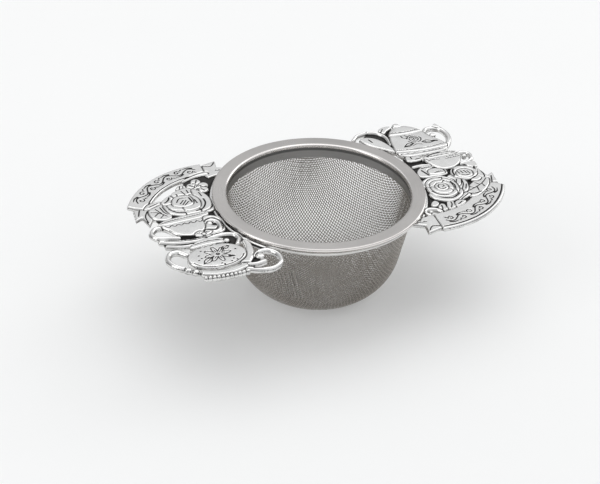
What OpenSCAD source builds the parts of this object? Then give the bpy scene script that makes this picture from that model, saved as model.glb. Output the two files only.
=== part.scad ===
// Two-handled tea strainer: a wire-cloth basket that drops into a ring with two cast relief handles.
// Millimetres, +Z up. The origin is on the surface it stands on, under the centre of the basket.
// The handles lie along X: left is -X, right is +X.

/* [Basket] */
// Height from the foot of the basket to the top of the flange
height = 40; // [36:1:44]
// Outer radius of the flange
flange_r = 38; // [38:0.1:38.4]
// Radius of the mouth
mouth_r = 32.7; // [32.6:0.05:32.7]
// Lean of the basket's wall, in degrees
wall_lean = 12; // [9:1:13]
// Radius of the curve between the wall and the foot
foot_curve_r = 20.2; // [18:0.1:21]
// Thickness of the wire cloth, over both wires
cloth = 0.5; // [0.4:0.05:0.5]

/* [Holder] */
// Bore of the holder's ring
ring_bore_r = 34.1; // [34.1:0.02:34.2]
// Outer radius of the holder's ring
ring_r = 36.8; // [36.4:0.1:36.8]
// Underside of the ring, below the flange's top
ring_drop = 3.4; // [3.2:0.05:3.4]
// Height of the bright bead round the ring
bead_h = 1.4; // [1.2:0.1:1.6]

/* [Handles] */
// Underside of the castings, below the flange's top
casting_drop = 4.2; // [4.1:0.1:4.6]
// Surface of the plate that the relief stands on, below the flange's top
plate_drop = 2.4; // [2.2:0.1:2.6]
// Height of the foot under the plate, which rests on the cup
foot_h = 1; // [0.9:0.05:1.2]
// How far the foot stands in from the plate's edge
foot_in = 1.4; // [1:0.1:1.6]
// Highest relief, below the flange's top
relief_drop = 1; // [0.8:0.1:1.2]
// Width of the groove between two neighbours in the relief
groove = 0.28; // [0.2:0.02:0.4]
// Radius of a ribbon banner's outer edge
banner_r = 34.7; // [34:0.1:34.7]
// Width of the left ribbon banner
banner_w = 8; // [7.6:0.1:8.2]
// How much wider the right banner is, which reaches under the leaves
right_banner_extra = 2; // [1.6:0.1:2.2]

/* [Hidden] */

steel = "gainsboro";
pewter = "silver";
round_fn = 120;      // circles that show
fine_fn = 12;        // round ends of a thin stroke
gap = 0.03;          // between crimped sheets
seat_gap = 0.05;     // between the flange and the ring it rests on

sheet = 0.6;         // the flange's steel
hem_drop = 0.85;     // the flange's turned-down edge
hem_t = 0.5;
skirt_drop = 5.6;    // the flange's skirt, down inside the cloth
skirt_r = mouth_r + 0.5;
cloth_r = skirt_r + cloth;
band_t = 0.3;
band_inner_r = cloth_r + gap;
band_r = band_inner_r + band_t;
band_drop = 5.2;

rivet_r = 0.58;
rivet_hole_r = 0.6;
rivet_head_r = 1.15;
rivet_head_h = 0.4;
rivet_play = 0.02;   // round a head, sunk flush in the casting
rivet_ring_r = 35.2;
rivet_angle = 24;    // each side of a handle's middle
lug_inner_r = 34.4;
lug_angle = 31;
lug_gap = 0.05;
collar_r = 39;       // the thick root of a lug
web_r = 39.4;        // the plate's plain edge next to the ring
relief_inner_r = flange_r - 0.4;

// ---------- curves ----------
function arc(c, r, a0, a1, n) = [for (i = [0:n]) let (a = a0 + (a1 - a0) * i / n) c + r * [cos(a), sin(a)]];
function reversed(p) = [for (i = [len(p) - 1:-1:0]) p[i]];
function catmull(p, q, r, s, t) =
    0.5 * (2 * q + (r - p) * t + (2 * p - 5 * q + 4 * r - s) * t * t + (3 * q - p - 3 * r + s) * t * t * t);
// a smooth open line through the points
function spline(p, n = 3) = let (m = len(p) - 1) concat(
    [for (i = [0:m - 1], k = [0:n - 1]) catmull(p[max(i - 1, 0)], p[i], p[i + 1], p[min(i + 2, m)], k / n)],
    [p[m]]);
// a smooth closed outline through the points
function closed_spline(p, n = 3) = let (m = len(p))
    [for (i = [0:m - 1], k = [0:n - 1])
        catmull(p[(i + m - 1) % m], p[i], p[(i + 1) % m], p[(i + 2) % m], k / n)];

// a line of changing half-width, from w0 to w1, with round ends
module stroke(points, w0, w1) {
    path = spline(points, 3);
    last = len(path) - 1;
    width = [for (i = [0:last]) w0 + (w1 - w0) * i / last];
    along = [for (i = [0:last]) path[min(i + 1, last)] - path[max(i - 1, 0)]];
    side = [for (i = [0:last]) [-along[i][1], along[i][0]] / norm(along[i]) * width[i]];
    for (i = [0:last - 1])
        polygon([path[i] + side[i], path[i + 1] + side[i + 1], path[i + 1] - side[i + 1], path[i] - side[i]]);
    translate(path[0]) circle(w0, $fn = fine_fn);
    translate(path[last]) circle(w1, $fn = fine_fn);
}
module blob(points) polygon(closed_spline(points));
module ball(x, y, r) translate([x, y]) circle(r, $fn = 20);
module petals(circles) for (c = circles) ball(c[0], c[1], c[2]);
// a pointed leaf from p to q
module leaf(p, q, half_w) {
    mid = (p + q) / 2;
    v = q - p;
    side = [-v[1], v[0]] / norm(v) * half_w;
    polygon(concat(spline([p, mid - 0.22 * v + 0.86 * side, mid + side, mid + 0.3 * v + 0.62 * side, q]),
                   spline([q, mid + 0.3 * v - 0.62 * side, mid - side, mid - 0.22 * v - 0.86 * side, p])));
}

// ---------- basket ----------
// the cloth's middle surface: centre of the foot curve, and where the wall meets it
cloth_mid_r = skirt_r + cloth / 2;
curve_top_z = foot_curve_r * (1 - sin(wall_lean));
curve_top_r = cloth_mid_r - (height - skirt_drop - curve_top_z) * tan(wall_lean);
foot_r = curve_top_r - foot_curve_r * cos(wall_lean);

// half of the cloth's section, at a distance d outside the middle surface
function cloth_line(d) = concat(
    [[0, cloth / 2 - d], [foot_r, cloth / 2 - d]],
    [for (i = [1:14]) let (a = -90 + (90 - wall_lean) * i / 14)
        [foot_r, foot_curve_r + cloth / 2] + (foot_curve_r + d) * [cos(a), sin(a)]],
    [[cloth_mid_r + d, height - skirt_drop], [cloth_mid_r + d, height - 1.2]]);

module mesh_cup() color(steel)
    rotate_extrude($fn = round_fn)
        polygon(concat(cloth_line(cloth / 2), reversed(cloth_line(gap - cloth / 2))));

module rim_flange() {
    outer_bend = 0.6;
    mouth_bend = 0.9;
    step_drop = 3;      // the skirt is rolled back a little below this
    step = 0.2;
    color(steel) rotate_extrude($fn = round_fn) polygon(concat(
        [[flange_r, height - hem_drop]],
        arc([flange_r - outer_bend, height - outer_bend], outer_bend, 0, 90, 5),
        arc([mouth_r + mouth_bend, height - mouth_bend], mouth_bend, 90, 180, 6),
        [[mouth_r, height - step_drop], [mouth_r + step, height - step_drop - step],
         [mouth_r + step, height - skirt_drop], [skirt_r, height - skirt_drop],
         [skirt_r, height - sheet - 0.4], [skirt_r + 0.4, height - sheet],
         [flange_r - hem_t, height - sheet], [flange_r - hem_t, height - hem_drop]]));
}

module clamp_band() color(steel)
    rotate_extrude($fn = round_fn) polygon([
        [band_inner_r, height - band_drop], [band_r - 0.1, height - band_drop],
        [band_r, height - band_drop + 0.15],
        [band_r, height - sheet - 0.15], [band_inner_r, height - sheet - 0.15]]);

// ---------- holder ----------
module rivet_places(side, r, from_drop, to_drop)
    for (a = [-rivet_angle, rivet_angle])
        rotate([0, 0, turn(side) + a])
            translate([rivet_ring_r, 0, height - from_drop])
                cylinder(r = r, h = from_drop - to_drop, $fn = 32);

// a narrow seat for the flange, with a bead round its foot
module holder_ring() {
    edge = bead_h / 2;
    low = height - ring_drop;
    seat_r = ring_bore_r + 1.4;
    color(steel) difference() {
        rotate_extrude($fn = round_fn) polygon(concat(
            [[ring_bore_r, low]],
            arc([ring_r - edge, low + edge], edge, -90, 90, 10),
            [[seat_r, low + bead_h], [seat_r, height - sheet - seat_gap],
             [ring_bore_r, height - sheet - seat_gap]]));
        for (side = [-1, 1]) rivet_places(side, rivet_hole_r, ring_drop + 1, 0);
    }
}

module rivets(side) color(steel) {
    rivet_places(side, rivet_r, casting_drop, sheet + seat_gap + 0.05);
    rivet_places(side, rivet_head_r, casting_drop, casting_drop - rivet_head_h);
}

// ---------- shapes that both handles have, drawn for the right one ----------
banner_centre = [35, 2.5];
module banner(extra = 0)
    polygon(concat(arc(banner_centre, banner_r, -90.5, -22, 14),
                   [banner_centre + (banner_r - banner_w / 2 + 0.8) * [cos(-20.4), sin(-20.4)]],
                   arc(banner_centre, banner_r - banner_w - extra, -20, -90.5, 14)));
module banner_tail_out()
    polygon([[60.2, -7], [59.2, -2.2], [62.2, 3.3], [63.6, -2.4], [66.2, -0.8], [65.6, -8]]);
module banner_tail_in()
    polygon([[34.4, -22.2], [27.3, -24.3], [25.2, -26.6], [29.4, -28.6], [28.9, -33.2], [35.2, -31.2],
             [37.5, -28]]);
module half_turn() rotate(180) children();

// ---------- the left relief, lowest motif first ----------
module left_motif(i) {
    if (i == 0) half_turn() banner_tail_out();
    if (i == 1) half_turn() banner_tail_in();
    if (i == 2) half_turn() banner();
    if (i == 3) stroke([[-34.6, 25.4], [-38.4, 24.7], [-44, 22.2]], 1, 0.45);           // ribbon's fold
    if (i == 4) blob([[-61.6, 6.8], [-60.4, 9.6], [-57, 11], [-54, 11], [-54.6, 8]]);     // leaf
    if (i == 5) blob([[-60.8, 5.6], [-57.6, 7.9], [-54.6, 8.7], [-53.2, 3.6], [-53.8, -0.6],
                      [-57.2, -1.4], [-60.2, 0.8]]);                                    // leaf
    if (i == 6) blob([[-47.9, 17.2], [-46.6, 19.5], [-44.6, 19.6], [-43.8, 17.6], [-45.4, 16]]);  // bud
    if (i == 7) blob([[-43.2, 3.6], [-40.6, 5.6], [-37.2, 4], [-37.2, 1], [-41, 0.2]]);   // low petal
    if (i == 8) petals([[-39.7, 20.4, 1.9], [-41.9, 17.9, 1.9], [-37.6, 17.6, 1.9], [-40.9, 14.6, 1.9],
                        [-38.2, 14.8, 1.9], [-39.8, 17.1, 1.2]]);                       // small flower
    if (i == 9) blob([[-55.2, 9.4], [-53.9, 11.9], [-50.6, 14.2], [-47.6, 14.4], [-48.4, 10.8],
                      [-51.6, 8.2], [-53.8, 7.4]]);                                     // rose's petals
    if (i == 10) blob([[-50.6, 14.2], [-47.6, 16.4], [-44, 17.4], [-41.8, 14.6], [-44, 11], [-48.4, 10.8]]);
    if (i == 11) blob([[-42.4, 16], [-38.6, 12], [-37.6, 7.4], [-38.6, 2.6], [-43.2, 0.4], [-45.2, 2],
                       [-42.2, 5.6], [-43, 10.6]]);
    if (i == 12) blob([[-54.9, 7.8], [-54.2, 2.8], [-51.4, 0.2], [-46.8, -0.6], [-42.8, 0.6], [-43.8, 4.2],
                       [-48.4, 3.4], [-51.6, 5.8]]);
    if (i == 13) blob([[-44.2, 12.6], [-41.7, 9.6], [-41.6, 5.6], [-43.4, 2.9], [-47.6, 2.4], [-48.3, 5.4],
                       [-44.6, 7]]);
    if (i == 14) blob([[-51.4, 6.4], [-51.4, 9.4], [-49.8, 12], [-47, 12.6], [-44.3, 11.6], [-43.6, 8.2],
                       [-44.9, 5.6], [-48.2, 4.9]]);                                    // rose's heart
    if (i == 15) stroke([[-61, -14], [-57, -15.4], [-50.5, -16.2], [-45, -15.2], [-41.6, -13.2]],
                        1.2, 0.9);                                                      // saucer
    if (i == 16) stroke([[-59.8, -17.4], [-54.5, -18.9], [-49.8, -18.6]], 0.75, 0.7);   // saucer's foot
    if (i == 17) stroke([[-57.4, -5.9], [-60.8, -5.4], [-63, -8.4], [-61.4, -11.6], [-57.8, -12.3],
                         [-54.6, -13.2]], 1.05, 0.85);                                  // cup's handle
    if (i == 18) blob([[-58.6, -4.9], [-50, -4.2], [-43.2, -3.4], [-43.6, -8], [-45.4, -11.4],
                       [-48.6, -13.4], [-52, -13.4], [-55, -11.6], [-57, -8.4]]);       // cup
    if (i == 19) blob([[-60, -4.3], [-56.6, -1.8], [-50, -0.5], [-42.6, 0.4], [-40.6, -0.8], [-42.8, -3],
                       [-50, -4.2], [-57, -5]]);                                        // cup's rim
    if (i == 20) stroke([[-44.2, -11.9], [-41, -12.6], [-39.1, -10.4], [-39.1, -7], [-41, -5.1],
                         [-42.9, -5.9]], 1.05, 0.9);                                    // curl by the cup
    if (i == 21) petals([[-42.2, -7.2, 1.15], [-47.3, -13.3, 1.5], [-44.3, -13, 1.4]]); // bow
    if (i == 22) stroke([[-46, -17.1], [-43, -15.6], [-39.2, -15], [-36.1, -16], [-35, -18.6],
                         [-36.4, -21.8]], 0.95, 0.9);                                   // pot's bail
    if (i == 23) stroke([[-54.8, -24], [-57.2, -21.5], [-60.2, -22.1], [-61.5, -25.6], [-60.1, -29.4],
                         [-57, -32.4], [-53.6, -34.9]], 1.05, 0.95);                    // pot's handle
    if (i == 24) stroke([[-37, -33], [-34, -28.6], [-33.2, -23.6], [-33.5, -20.8]], 2.2, 0.9);  // spout
    if (i == 25) stroke([[-37.4, -37.2], [-33, -38.9], [-28.6, -39], [-25.3, -36], [-24.9, -31.6],
                         [-27.5, -28.4], [-30.8, -28.5], [-32.4, -30.6]], 1, 1);        // scroll
    if (i == 26) petals([[-31.2, -31.2, 1.6]]);                                         // scroll's end
    if (i == 27) stroke([[-38.2, -34.6], [-34, -35.4], [-30.6, -34.6]], 0.75, 0.9);
    if (i == 28) stroke([[-51.8, -36.4], [-47.5, -37.6], [-42.6, -37.5], [-37.8, -35.8]], 1.3, 1.2);  // foot
    if (i == 29) for (k = [0:10]) ball(-52.2 + 1.45 * k, -39.7 + 0.026 * pow(k - 4.4, 2), 0.84);  // beads
    if (i == 30) blob([[-53, -21.9], [-51.2, -19], [-47.8, -17], [-44.6, -16.7], [-41.6, -17.6],
                       [-38.4, -19.6], [-41, -20.6], [-47, -20.9]]);                    // lid
    if (i == 31) translate([-45.4, -28.2]) rotate(5) scale([1.45, 1]) circle(7.1, $fn = 60);  // pot
}

// ---------- the right relief, lowest motif first ----------
module right_motif(i) {
    if (i == 0) banner_tail_out();
    if (i == 1) banner_tail_in();
    if (i == 2) banner(right_banner_extra);
    if (i == 3) blob([[50, -12.6], [53.4, -15.4], [58, -12.8], [61.8, -8.6], [63.2, -4.6], [60.4, -3.6],
                      [56, -6.2], [52.4, -9.4]]);                                       // large leaf
    if (i == 4) blob([[46.4, -17.4], [49.6, -15.6], [52.6, -13.8], [51.8, -11.8], [48.6, -13.2]]);  // leaf
    if (i == 5) blob([[38.6, -21.2], [38, -18.6], [40, -16.6], [41.6, -18.4], [41, -20.8]]);  // leaflets
    if (i == 6) blob([[41.6, -20.8], [41.4, -17.4], [43.6, -15.4], [45.2, -17.6], [44.2, -20.2]]);
    if (i == 7) blob([[44.8, -19.9], [45, -17], [47.4, -16], [49.4, -17.2], [47.8, -18.9]]);
    if (i == 8) stroke([[33.4, -22.2], [32.4, -20.2], [34.4, -18.6], [37, -19.4], [38.4, -21]], 0.95, 0.75);
    if (i == 9) blob([[50, -9.8], [51.6, -11.6], [53.6, -9.4], [54.6, -5.6], [53.4, -2.2], [51, -4.4]]);
    if (i == 10) blob([[47.6, -1.8], [50, 0.8], [52.8, -0.4], [53, -3.6], [51.2, -7], [49.2, -6]]);
    if (i == 11) blob([[39.2, -8.4], [38.2, -12.4], [41.4, -15.4], [45.4, -16], [49, -13.8], [51, -10.4],
                       [49, -8]]);                                                      // rose's petals
    if (i == 12) blob([[38.2, -5.4], [38.2, -1.6], [41.6, 0.8], [45.4, 1.2], [48.8, -0.6], [49.6, -4.6]]);
    if (i == 13) petals([[44.2, -6.7, 6]]);                                             // rose
    if (i == 14) petals([[44.2, -6.7, 3.8]]);                                           // rose's heart
    if (i == 15) blob([[58.4, 6.6], [60.6, 8.2], [62.8, 6.8], [62.2, 3.6], [59.6, 3.4]]);  // leaves
    if (i == 16) blob([[56.8, -2.6], [59.4, -1.4], [60.6, -4], [58.6, -5.8], [56.4, -5]]);
    if (i == 17) blob([[50.9, 0.2], [51.2, 3.2], [53.8, 5.4], [57.6, 5.2], [60.6, 2.6], [60.3, -1],
                       [57.6, -3.6], [54.8, -3.8], [52, -2]]);                          // side bloom
    if (i == 18) blob([[52.6, -0.8], [53.4, 2.4], [56.6, 3.4], [59, 1.2], [58, -2], [54.8, -2.6]]);
    if (i == 19) blob([[39.4, 1.4], [39.2, 5.4], [42.4, 8.4], [46.6, 8], [49.8, 5.6], [49.8, 1.6],
                       [45, 0.9]]);                                                     // bud
    if (i == 20) stroke([[39.2, 9.3], [43, 9.7], [46.4, 8.6]], 0.65, 0.7);              // saucer
    if (i == 21) blob([[38.8, 12.9], [39, 16.4], [43, 16.6], [44.9, 14.8], [43.8, 12.9]]);
    if (i == 22) stroke([[58, 14.2], [60.6, 15.1], [62.9, 13.4], [62.5, 10.1], [60, 7.9], [57.2, 7.4]],
                        0.95, 0.8);                                                     // cup's handle
    if (i == 23) blob([[45, 13], [51, 13.4], [59, 14], [58.6, 10.6], [56.6, 7.2], [53.4, 5], [49.4, 4.8],
                       [46.6, 7.8]]);                                                   // cup
    if (i == 24) blob([[45, 13.6], [46.8, 15.7], [51, 17], [56.4, 16.8], [59.2, 15.2], [56, 13.9],
                       [50.6, 13.2], [47, 12.9]]);                                      // cup's rim
    if (i == 25) blob([[35.6, 35.6], [36.6, 38.6], [40.2, 39.6], [41.6, 38.2], [39, 36.2], [37.6, 34.6]]);
    if (i == 26) stroke([[24.9, 33.8], [27.2, 36.3], [31.2, 37.5], [35, 36.2], [37.2, 32.4], [37.1, 27]],
                        0.85, 0.7);                                                     // scroll
    if (i == 27) blob([[26.6, 32.4], [29.6, 33.6], [33, 31.8], [35.4, 28], [36.8, 23.6], [36.9, 20.4],
                       [33, 23.6], [29, 27.6]]);                                        // spout
    if (i == 28) stroke([[52.4, 32.2], [53.7, 34.3], [56.4, 35], [59.2, 33.4], [60.4, 30.2], [60.2, 26.6],
                         [58.2, 22.6], [55.4, 19.2]], 1, 1.15);                         // pot's handle
    if (i == 29) polygon([[56.6, 35.4], [58.4, 37.3], [60.4, 34], [58, 34]]);
    if (i == 30) stroke([[52.8, 31], [53.4, 29.2], [54.8, 28.8]], 0.8, 0.9);
    if (i == 31) petals([[54.9, 29.7, 1.3]]);
    if (i == 32) blob([[37.2, 20], [46, 19.8], [56.4, 20.6], [55, 17.4], [47, 16.4], [39.8, 16.4]]);  // foot
    if (i == 33) polygon(concat(spline([[38.3, 31.6], [45, 31.4], [51.8, 32.6]]),
                                spline([[52, 32.2], [53.4, 28.6], [56, 25], [57.6, 21.6], [56.8, 20]]),
                                spline([[56.4, 19.8], [46.5, 18.9], [37, 20]]),
                                spline([[36.7, 20.4], [37.2, 26], [38.2, 31.4]])));     // pot
    if (i == 34) blob([[38.3, 32.6], [40, 35.7], [43.4, 38], [46.8, 38], [49.8, 36], [51.8, 33.4],
                       [50.8, 32.2], [45, 31.6], [39.4, 31.7]]);                        // lid
    if (i == 35) ball(43.9, 39.3, 1.8);                                                 // knob
}

// ---------- the castings ----------
LEVELS = 3;          // heights of the relief
plate_t = casting_drop - plate_drop;
relief_root = foot_h + 0.3;  // the relief's lower end, inside the plate
function motif_count(side) = side < 0 ? 32 : 36;
function turn(side) = side < 0 ? 180 : 0;
function web_angles(side) = side < 0 ? [141, 224] : [-37, 44];

module motif(side, i) {
    if (side < 0) left_motif(i);
    if (side > 0) right_motif(i);
}
module motifs_from(side, first)
    for (i = [first:1:motif_count(side) - 1]) motif(side, i);

// the tops of one level's motifs, each cut round by a groove where a later motif lies over it
module relief(side, level)
    offset(delta = 0.1) offset(delta = -0.1)      // no sliver thinner than 0.2
        for (i = [0:motif_count(side) - 1])
            if (floor(LEVELS * i / motif_count(side)) == level) difference() {
                offset(delta = -groove / 2) motif(side, i);
                offset(delta = groove / 2) motifs_from(side, i + 1);
                circle(relief_inner_r, $fn = 96);
            }

// the plain edge of the plate that stands against the ring
module web(side)
    polygon(concat(arc([0, 0], web_r, web_angles(side)[0], web_angles(side)[1], 16),
                   arc([0, 0], ring_r, web_angles(side)[1], web_angles(side)[0], 16)));

// recesses: plain plate between motifs that stand close together
module left_recesses() {
    polygon([[-44.5, 20.5], [-42, 24.5], [-34, 25.5], [-30, 24], [-36, 10], [-42, 13]]);
    polygon([[-45, -1], [-38, 6], [-37, -15], [-45, -15.5]]);
    polygon([[-46.5, -17], [-40, -15.2], [-36, -16.5], [-35.5, -22], [-46, -21]]);
    polygon([[-60.5, -12.4], [-60.5, -17], [-50, -18.4], [-44, -14]]);
    polygon([[-60.5, 3.5], [-58.5, -3], [-48, -2], [-50, 5], [-56, 8]]);
    polygon([[-36.5, -30], [-32.5, -29], [-31, -35.5], [-38, -37]]);
}
module right_recesses() {
    polygon([[35, -19], [46, -18.5], [57, -13], [61.5, -6], [61, 4], [56, 8], [46, 13], [38, 17]]);
    polygon([[26.8, 33], [31, 37], [37.5, 36], [40, 30], [36, 24]]);
    polygon([[38, 34], [39.5, 37.5], [43, 38], [42, 33]]);
    polygon([[53, 27.5], [56.5, 23.5], [56, 20], [52, 24]]);
}

// the plate: all the motifs and recesses together, clear of the ring
module plate_outline(side) offset(delta = 0) difference() {
    offset(delta = 0.3) offset(delta = -0.7) offset(delta = 0.4) {
        motifs_from(side, 0);
        web(side);
        if (side < 0) left_recesses();
        if (side > 0) right_recesses();
    }
    circle(ring_r + 0.1, $fn = 96);
}

// the foot's flat underside
module foot_outline(side) offset(delta = 0) intersection() {
    offset(delta = -foot_in) plate_outline(side);
    difference() {
        square(200, center = true);
        circle(collar_r - 0.5, $fn = 96);
    }
}

// a slice of a ring across a handle's root
module lug_outline(side, inner_r, outer_r) offset(delta = 0) difference() {
    rotate(turn(side)) polygon(concat([[0, 0]], arc([0, 0], outer_r, -lug_angle, lug_angle, 8)));
    circle(inner_r, $fn = 96);
}
module lug(side) difference() {
    union() {
        linear_extrude(casting_drop - ring_drop - lug_gap) lug_outline(side, lug_inner_r, collar_r);
        linear_extrude(foot_h + 0.2) lug_outline(side, ring_r + 0.1, collar_r);
    }
    for (a = [-rivet_angle, rivet_angle])
        rotate([0, 0, turn(side) + a]) translate([rivet_ring_r, 0, -1]) {
            cylinder(r = rivet_hole_r, h = 4, $fn = 32);
            cylinder(r = rivet_head_r + rivet_play, h = 1 + rivet_head_h + rivet_play, $fn = 32);
        }
}

module handle(side) color(pewter) translate([0, 0, height - casting_drop]) {
    linear_extrude(foot_h + 0.1) foot_outline(side);
    translate([0, 0, foot_h]) linear_extrude(plate_t - foot_h) plate_outline(side);
    for (level = [0:LEVELS - 1]) {
        top = plate_t + (plate_drop - relief_drop) * (level + 1) / LEVELS;
        translate([0, 0, relief_root]) linear_extrude(top - relief_root) relief(side, level);
    }
    lug(side);
}

rim_flange();
mesh_cup();
clamp_band();
holder_ring();
handle(-1);  // left_handle
handle(1);  // right_handle
rivets(-1);  // left_rivets
rivets(1);  // right_rivets
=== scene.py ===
import math

import bpy
import numpy as np
from mathutils import Matrix, Vector
from mathutils.geometry import delaunay_2d_cdt


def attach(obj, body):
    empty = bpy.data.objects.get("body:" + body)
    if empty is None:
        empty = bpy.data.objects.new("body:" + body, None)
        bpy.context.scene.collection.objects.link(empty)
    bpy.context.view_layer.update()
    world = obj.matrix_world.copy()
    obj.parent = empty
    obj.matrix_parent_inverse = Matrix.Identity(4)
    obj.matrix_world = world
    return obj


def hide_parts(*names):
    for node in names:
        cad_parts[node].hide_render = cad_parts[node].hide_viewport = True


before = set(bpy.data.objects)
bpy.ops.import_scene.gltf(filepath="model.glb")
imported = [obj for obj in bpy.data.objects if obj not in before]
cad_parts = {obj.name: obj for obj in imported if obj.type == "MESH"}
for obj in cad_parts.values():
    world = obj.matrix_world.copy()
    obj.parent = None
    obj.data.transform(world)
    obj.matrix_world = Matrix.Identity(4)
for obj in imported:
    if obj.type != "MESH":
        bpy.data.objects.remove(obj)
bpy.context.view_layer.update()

MM = 0.001

# ---------- sizes shared with the CAD ----------
HEIGHT = 40.0            # top of the flange
RING_R = 36.8            # outside of the holder's ring
CASTING_Z = 35.8         # underside of the castings
PLATE_T = 1.8            # top of a casting's plate
FOOT_H = 1.0             # the plate's underside, on top of a foot
FOOT_IN = 1.4            # how far the foot stands in from the plate's edge
COLLAR_R = 39.0          # the thick root of a lug
WEB_R = 39.4             # plain edge of the plate next to the ring
BANNER_C = (35.0, 2.5)   # centre of the right banner's arcs
BANNER_R = 34.7          # its outer edge
BANNER_W = 8.0
RIGHT_BANNER_EXTRA = 2.0  # how much wider the right banner is, under the leaves

CLOTH_R = 33.45          # cloth's middle surface where it is clamped
CLAMP_Z = 34.4           # lower end of the skirt that clamps it
CLOTH_TOP_Z = 36.4       # where the wires stop, out of sight
WALL_LEAN = math.radians(12)
CURVE_R = 20.2           # between the wall and the foot
CLOTH_HALF = 0.25        # half the cloth's thickness


# ---------- objects ----------
def place_object(name, data):
    obj = bpy.data.objects.new(name, data)
    bpy.context.scene.collection.objects.link(obj)
    return obj


def make_object(name, verts, faces, material):
    """A mesh object from millimetre points and faces, either an array of quads or a list of polygons."""
    mesh = bpy.data.meshes.new(name)
    if isinstance(faces, np.ndarray):
        mesh.vertices.add(len(verts))
        mesh.vertices.foreach_set("co", (np.asarray(verts) * MM).astype(np.float32).ravel())
        mesh.loops.add(faces.size)
        mesh.loops.foreach_set("vertex_index", faces.astype(np.int32).ravel())
        mesh.polygons.add(len(faces))
        mesh.polygons.foreach_set("loop_start", np.arange(0, faces.size, 4, dtype=np.int32))
        mesh.update(calc_edges=True)
    else:
        mesh.from_pydata((np.asarray(verts) * MM).tolist(), [], faces)
    mesh.validate()
    mesh.shade_smooth()
    mesh.materials.append(material)
    return place_object(name, mesh)


# ---------- curves and distances ----------
def catmull(p, q, r, s, t):
    return 0.5 * (2 * q + (r - p) * t + (2 * p - 5 * q + 4 * r - s) * t * t
                  + (3 * q - p - 3 * r + s) * t ** 3)


def spline(points, n=5):
    """A smooth open line through the points."""
    p = np.asarray(points, float)
    m = len(p) - 1
    out = [catmull(p[max(i - 1, 0)], p[i], p[i + 1], p[min(i + 2, m)], k / n)
           for i in range(m) for k in range(n)]
    return np.array(out + [p[m]])


def closed_spline(points, n=5):
    """A smooth closed outline through the points."""
    p = np.asarray(points, float)
    m = len(p)
    return np.array([catmull(p[i - 1], p[i], p[(i + 1) % m], p[(i + 2) % m], k / n)
                     for i in range(m) for k in range(n)])


def arc(centre, r, a0, a1, n):
    a = np.radians(np.linspace(a0, a1, n + 1))
    return np.c_[centre[0] + r * np.cos(a), centre[1] + r * np.sin(a)]


def line_distance(x, y, path, w0=0.0, w1=0.0):
    """Distance from each point to an open line, less the line's own half-width from w0 to w1."""
    best = np.full(x.shape, 1e9)
    last = len(path) - 1
    for i in range(last):
        a, b = path[i], path[i + 1]
        v = b - a
        t = np.clip(((x - a[0]) * v[0] + (y - a[1]) * v[1]) / max(v @ v, 1e-12), 0, 1)
        d = np.hypot(x - a[0] - t * v[0], y - a[1] - t * v[1])
        best = np.minimum(best, d - w0 - (w1 - w0) * (i + t) / last)
    return best


def polygon_distance(x, y, path):
    """Signed distance to a closed outline, negative inside."""
    closed = np.vstack([path, path[:1]])
    inside = np.zeros(x.shape, bool)
    for a, b in zip(closed[:-1], closed[1:]):
        if a[1] != b[1]:
            crossing = (a[1] > y) != (b[1] > y)
            inside ^= crossing & (x < a[0] + (y - a[1]) * (b[0] - a[0]) / (b[1] - a[1]))
    d = line_distance(x, y, closed)
    return np.where(inside, -d, d)


def boxed(points, margin, distance):
    """A shape: the box round it, and a function of x and y that gives the signed distance to it."""
    p = np.asarray(points)
    return (p.min(0) - margin, p.max(0) + margin), distance


def disc(cx, cy, r):
    return boxed([[cx, cy]], r, lambda x, y: np.hypot(x - cx, y - cy) - r)


def stroke(points, w0, w1):
    path = spline(points)
    return boxed(path, max(w0, w1), lambda x, y: line_distance(x, y, path, w0, w1))


def outline(path):
    return boxed(path, 0, lambda x, y: polygon_distance(x, y, np.asarray(path, float)))


def blob(points):
    return outline(closed_spline(points))


def mirrored(points):
    """The same outline half a turn round the basket."""
    return -np.asarray(points, float)


# ---------- the relief as a height field ----------
STEP = 0.15              # grid pitch
MOAT = 0.4               # width of the groove round a motif
MOAT_DEPTH = 0.45
SLOPE = 0.24             # width of the step up to a motif
EDGE_ROUND = 0.4         # rounding of the casting's top edge
EDGE_DROP = 0.3          # and how far it drops there
FLOOR_MIN = 1.35         # the lowest that a groove goes
CHAMFER = 0.2            # along the plate's lower edge
RIM_PATINA = 0.26        # the castings' sides are nearly clean at the top
WALL_PAINTED_SHADE = 0.47       # painted shade: the sides lower down are painted greyer
PINHOLE = 26             # a hole with fewer grid crossings round it is closed
FIRST_LEVEL = 2.3        # height of the lowest motif
LEVEL_RISE = 0.012       # how much higher each following motif is
RIBBON_RISE = 0.12       # and a banner over its tails
PLATE_BLACK = 0.8        # blackening of the bare plate, where 1 is full
BLACK_PEAK = 1.2         # blackening at a motif's outline, before it is cut off at 1
BLACK_REACH = 0.13       # how far it reaches up the motif's rounded edge
FAR = 50.0               # further than any outline


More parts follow.
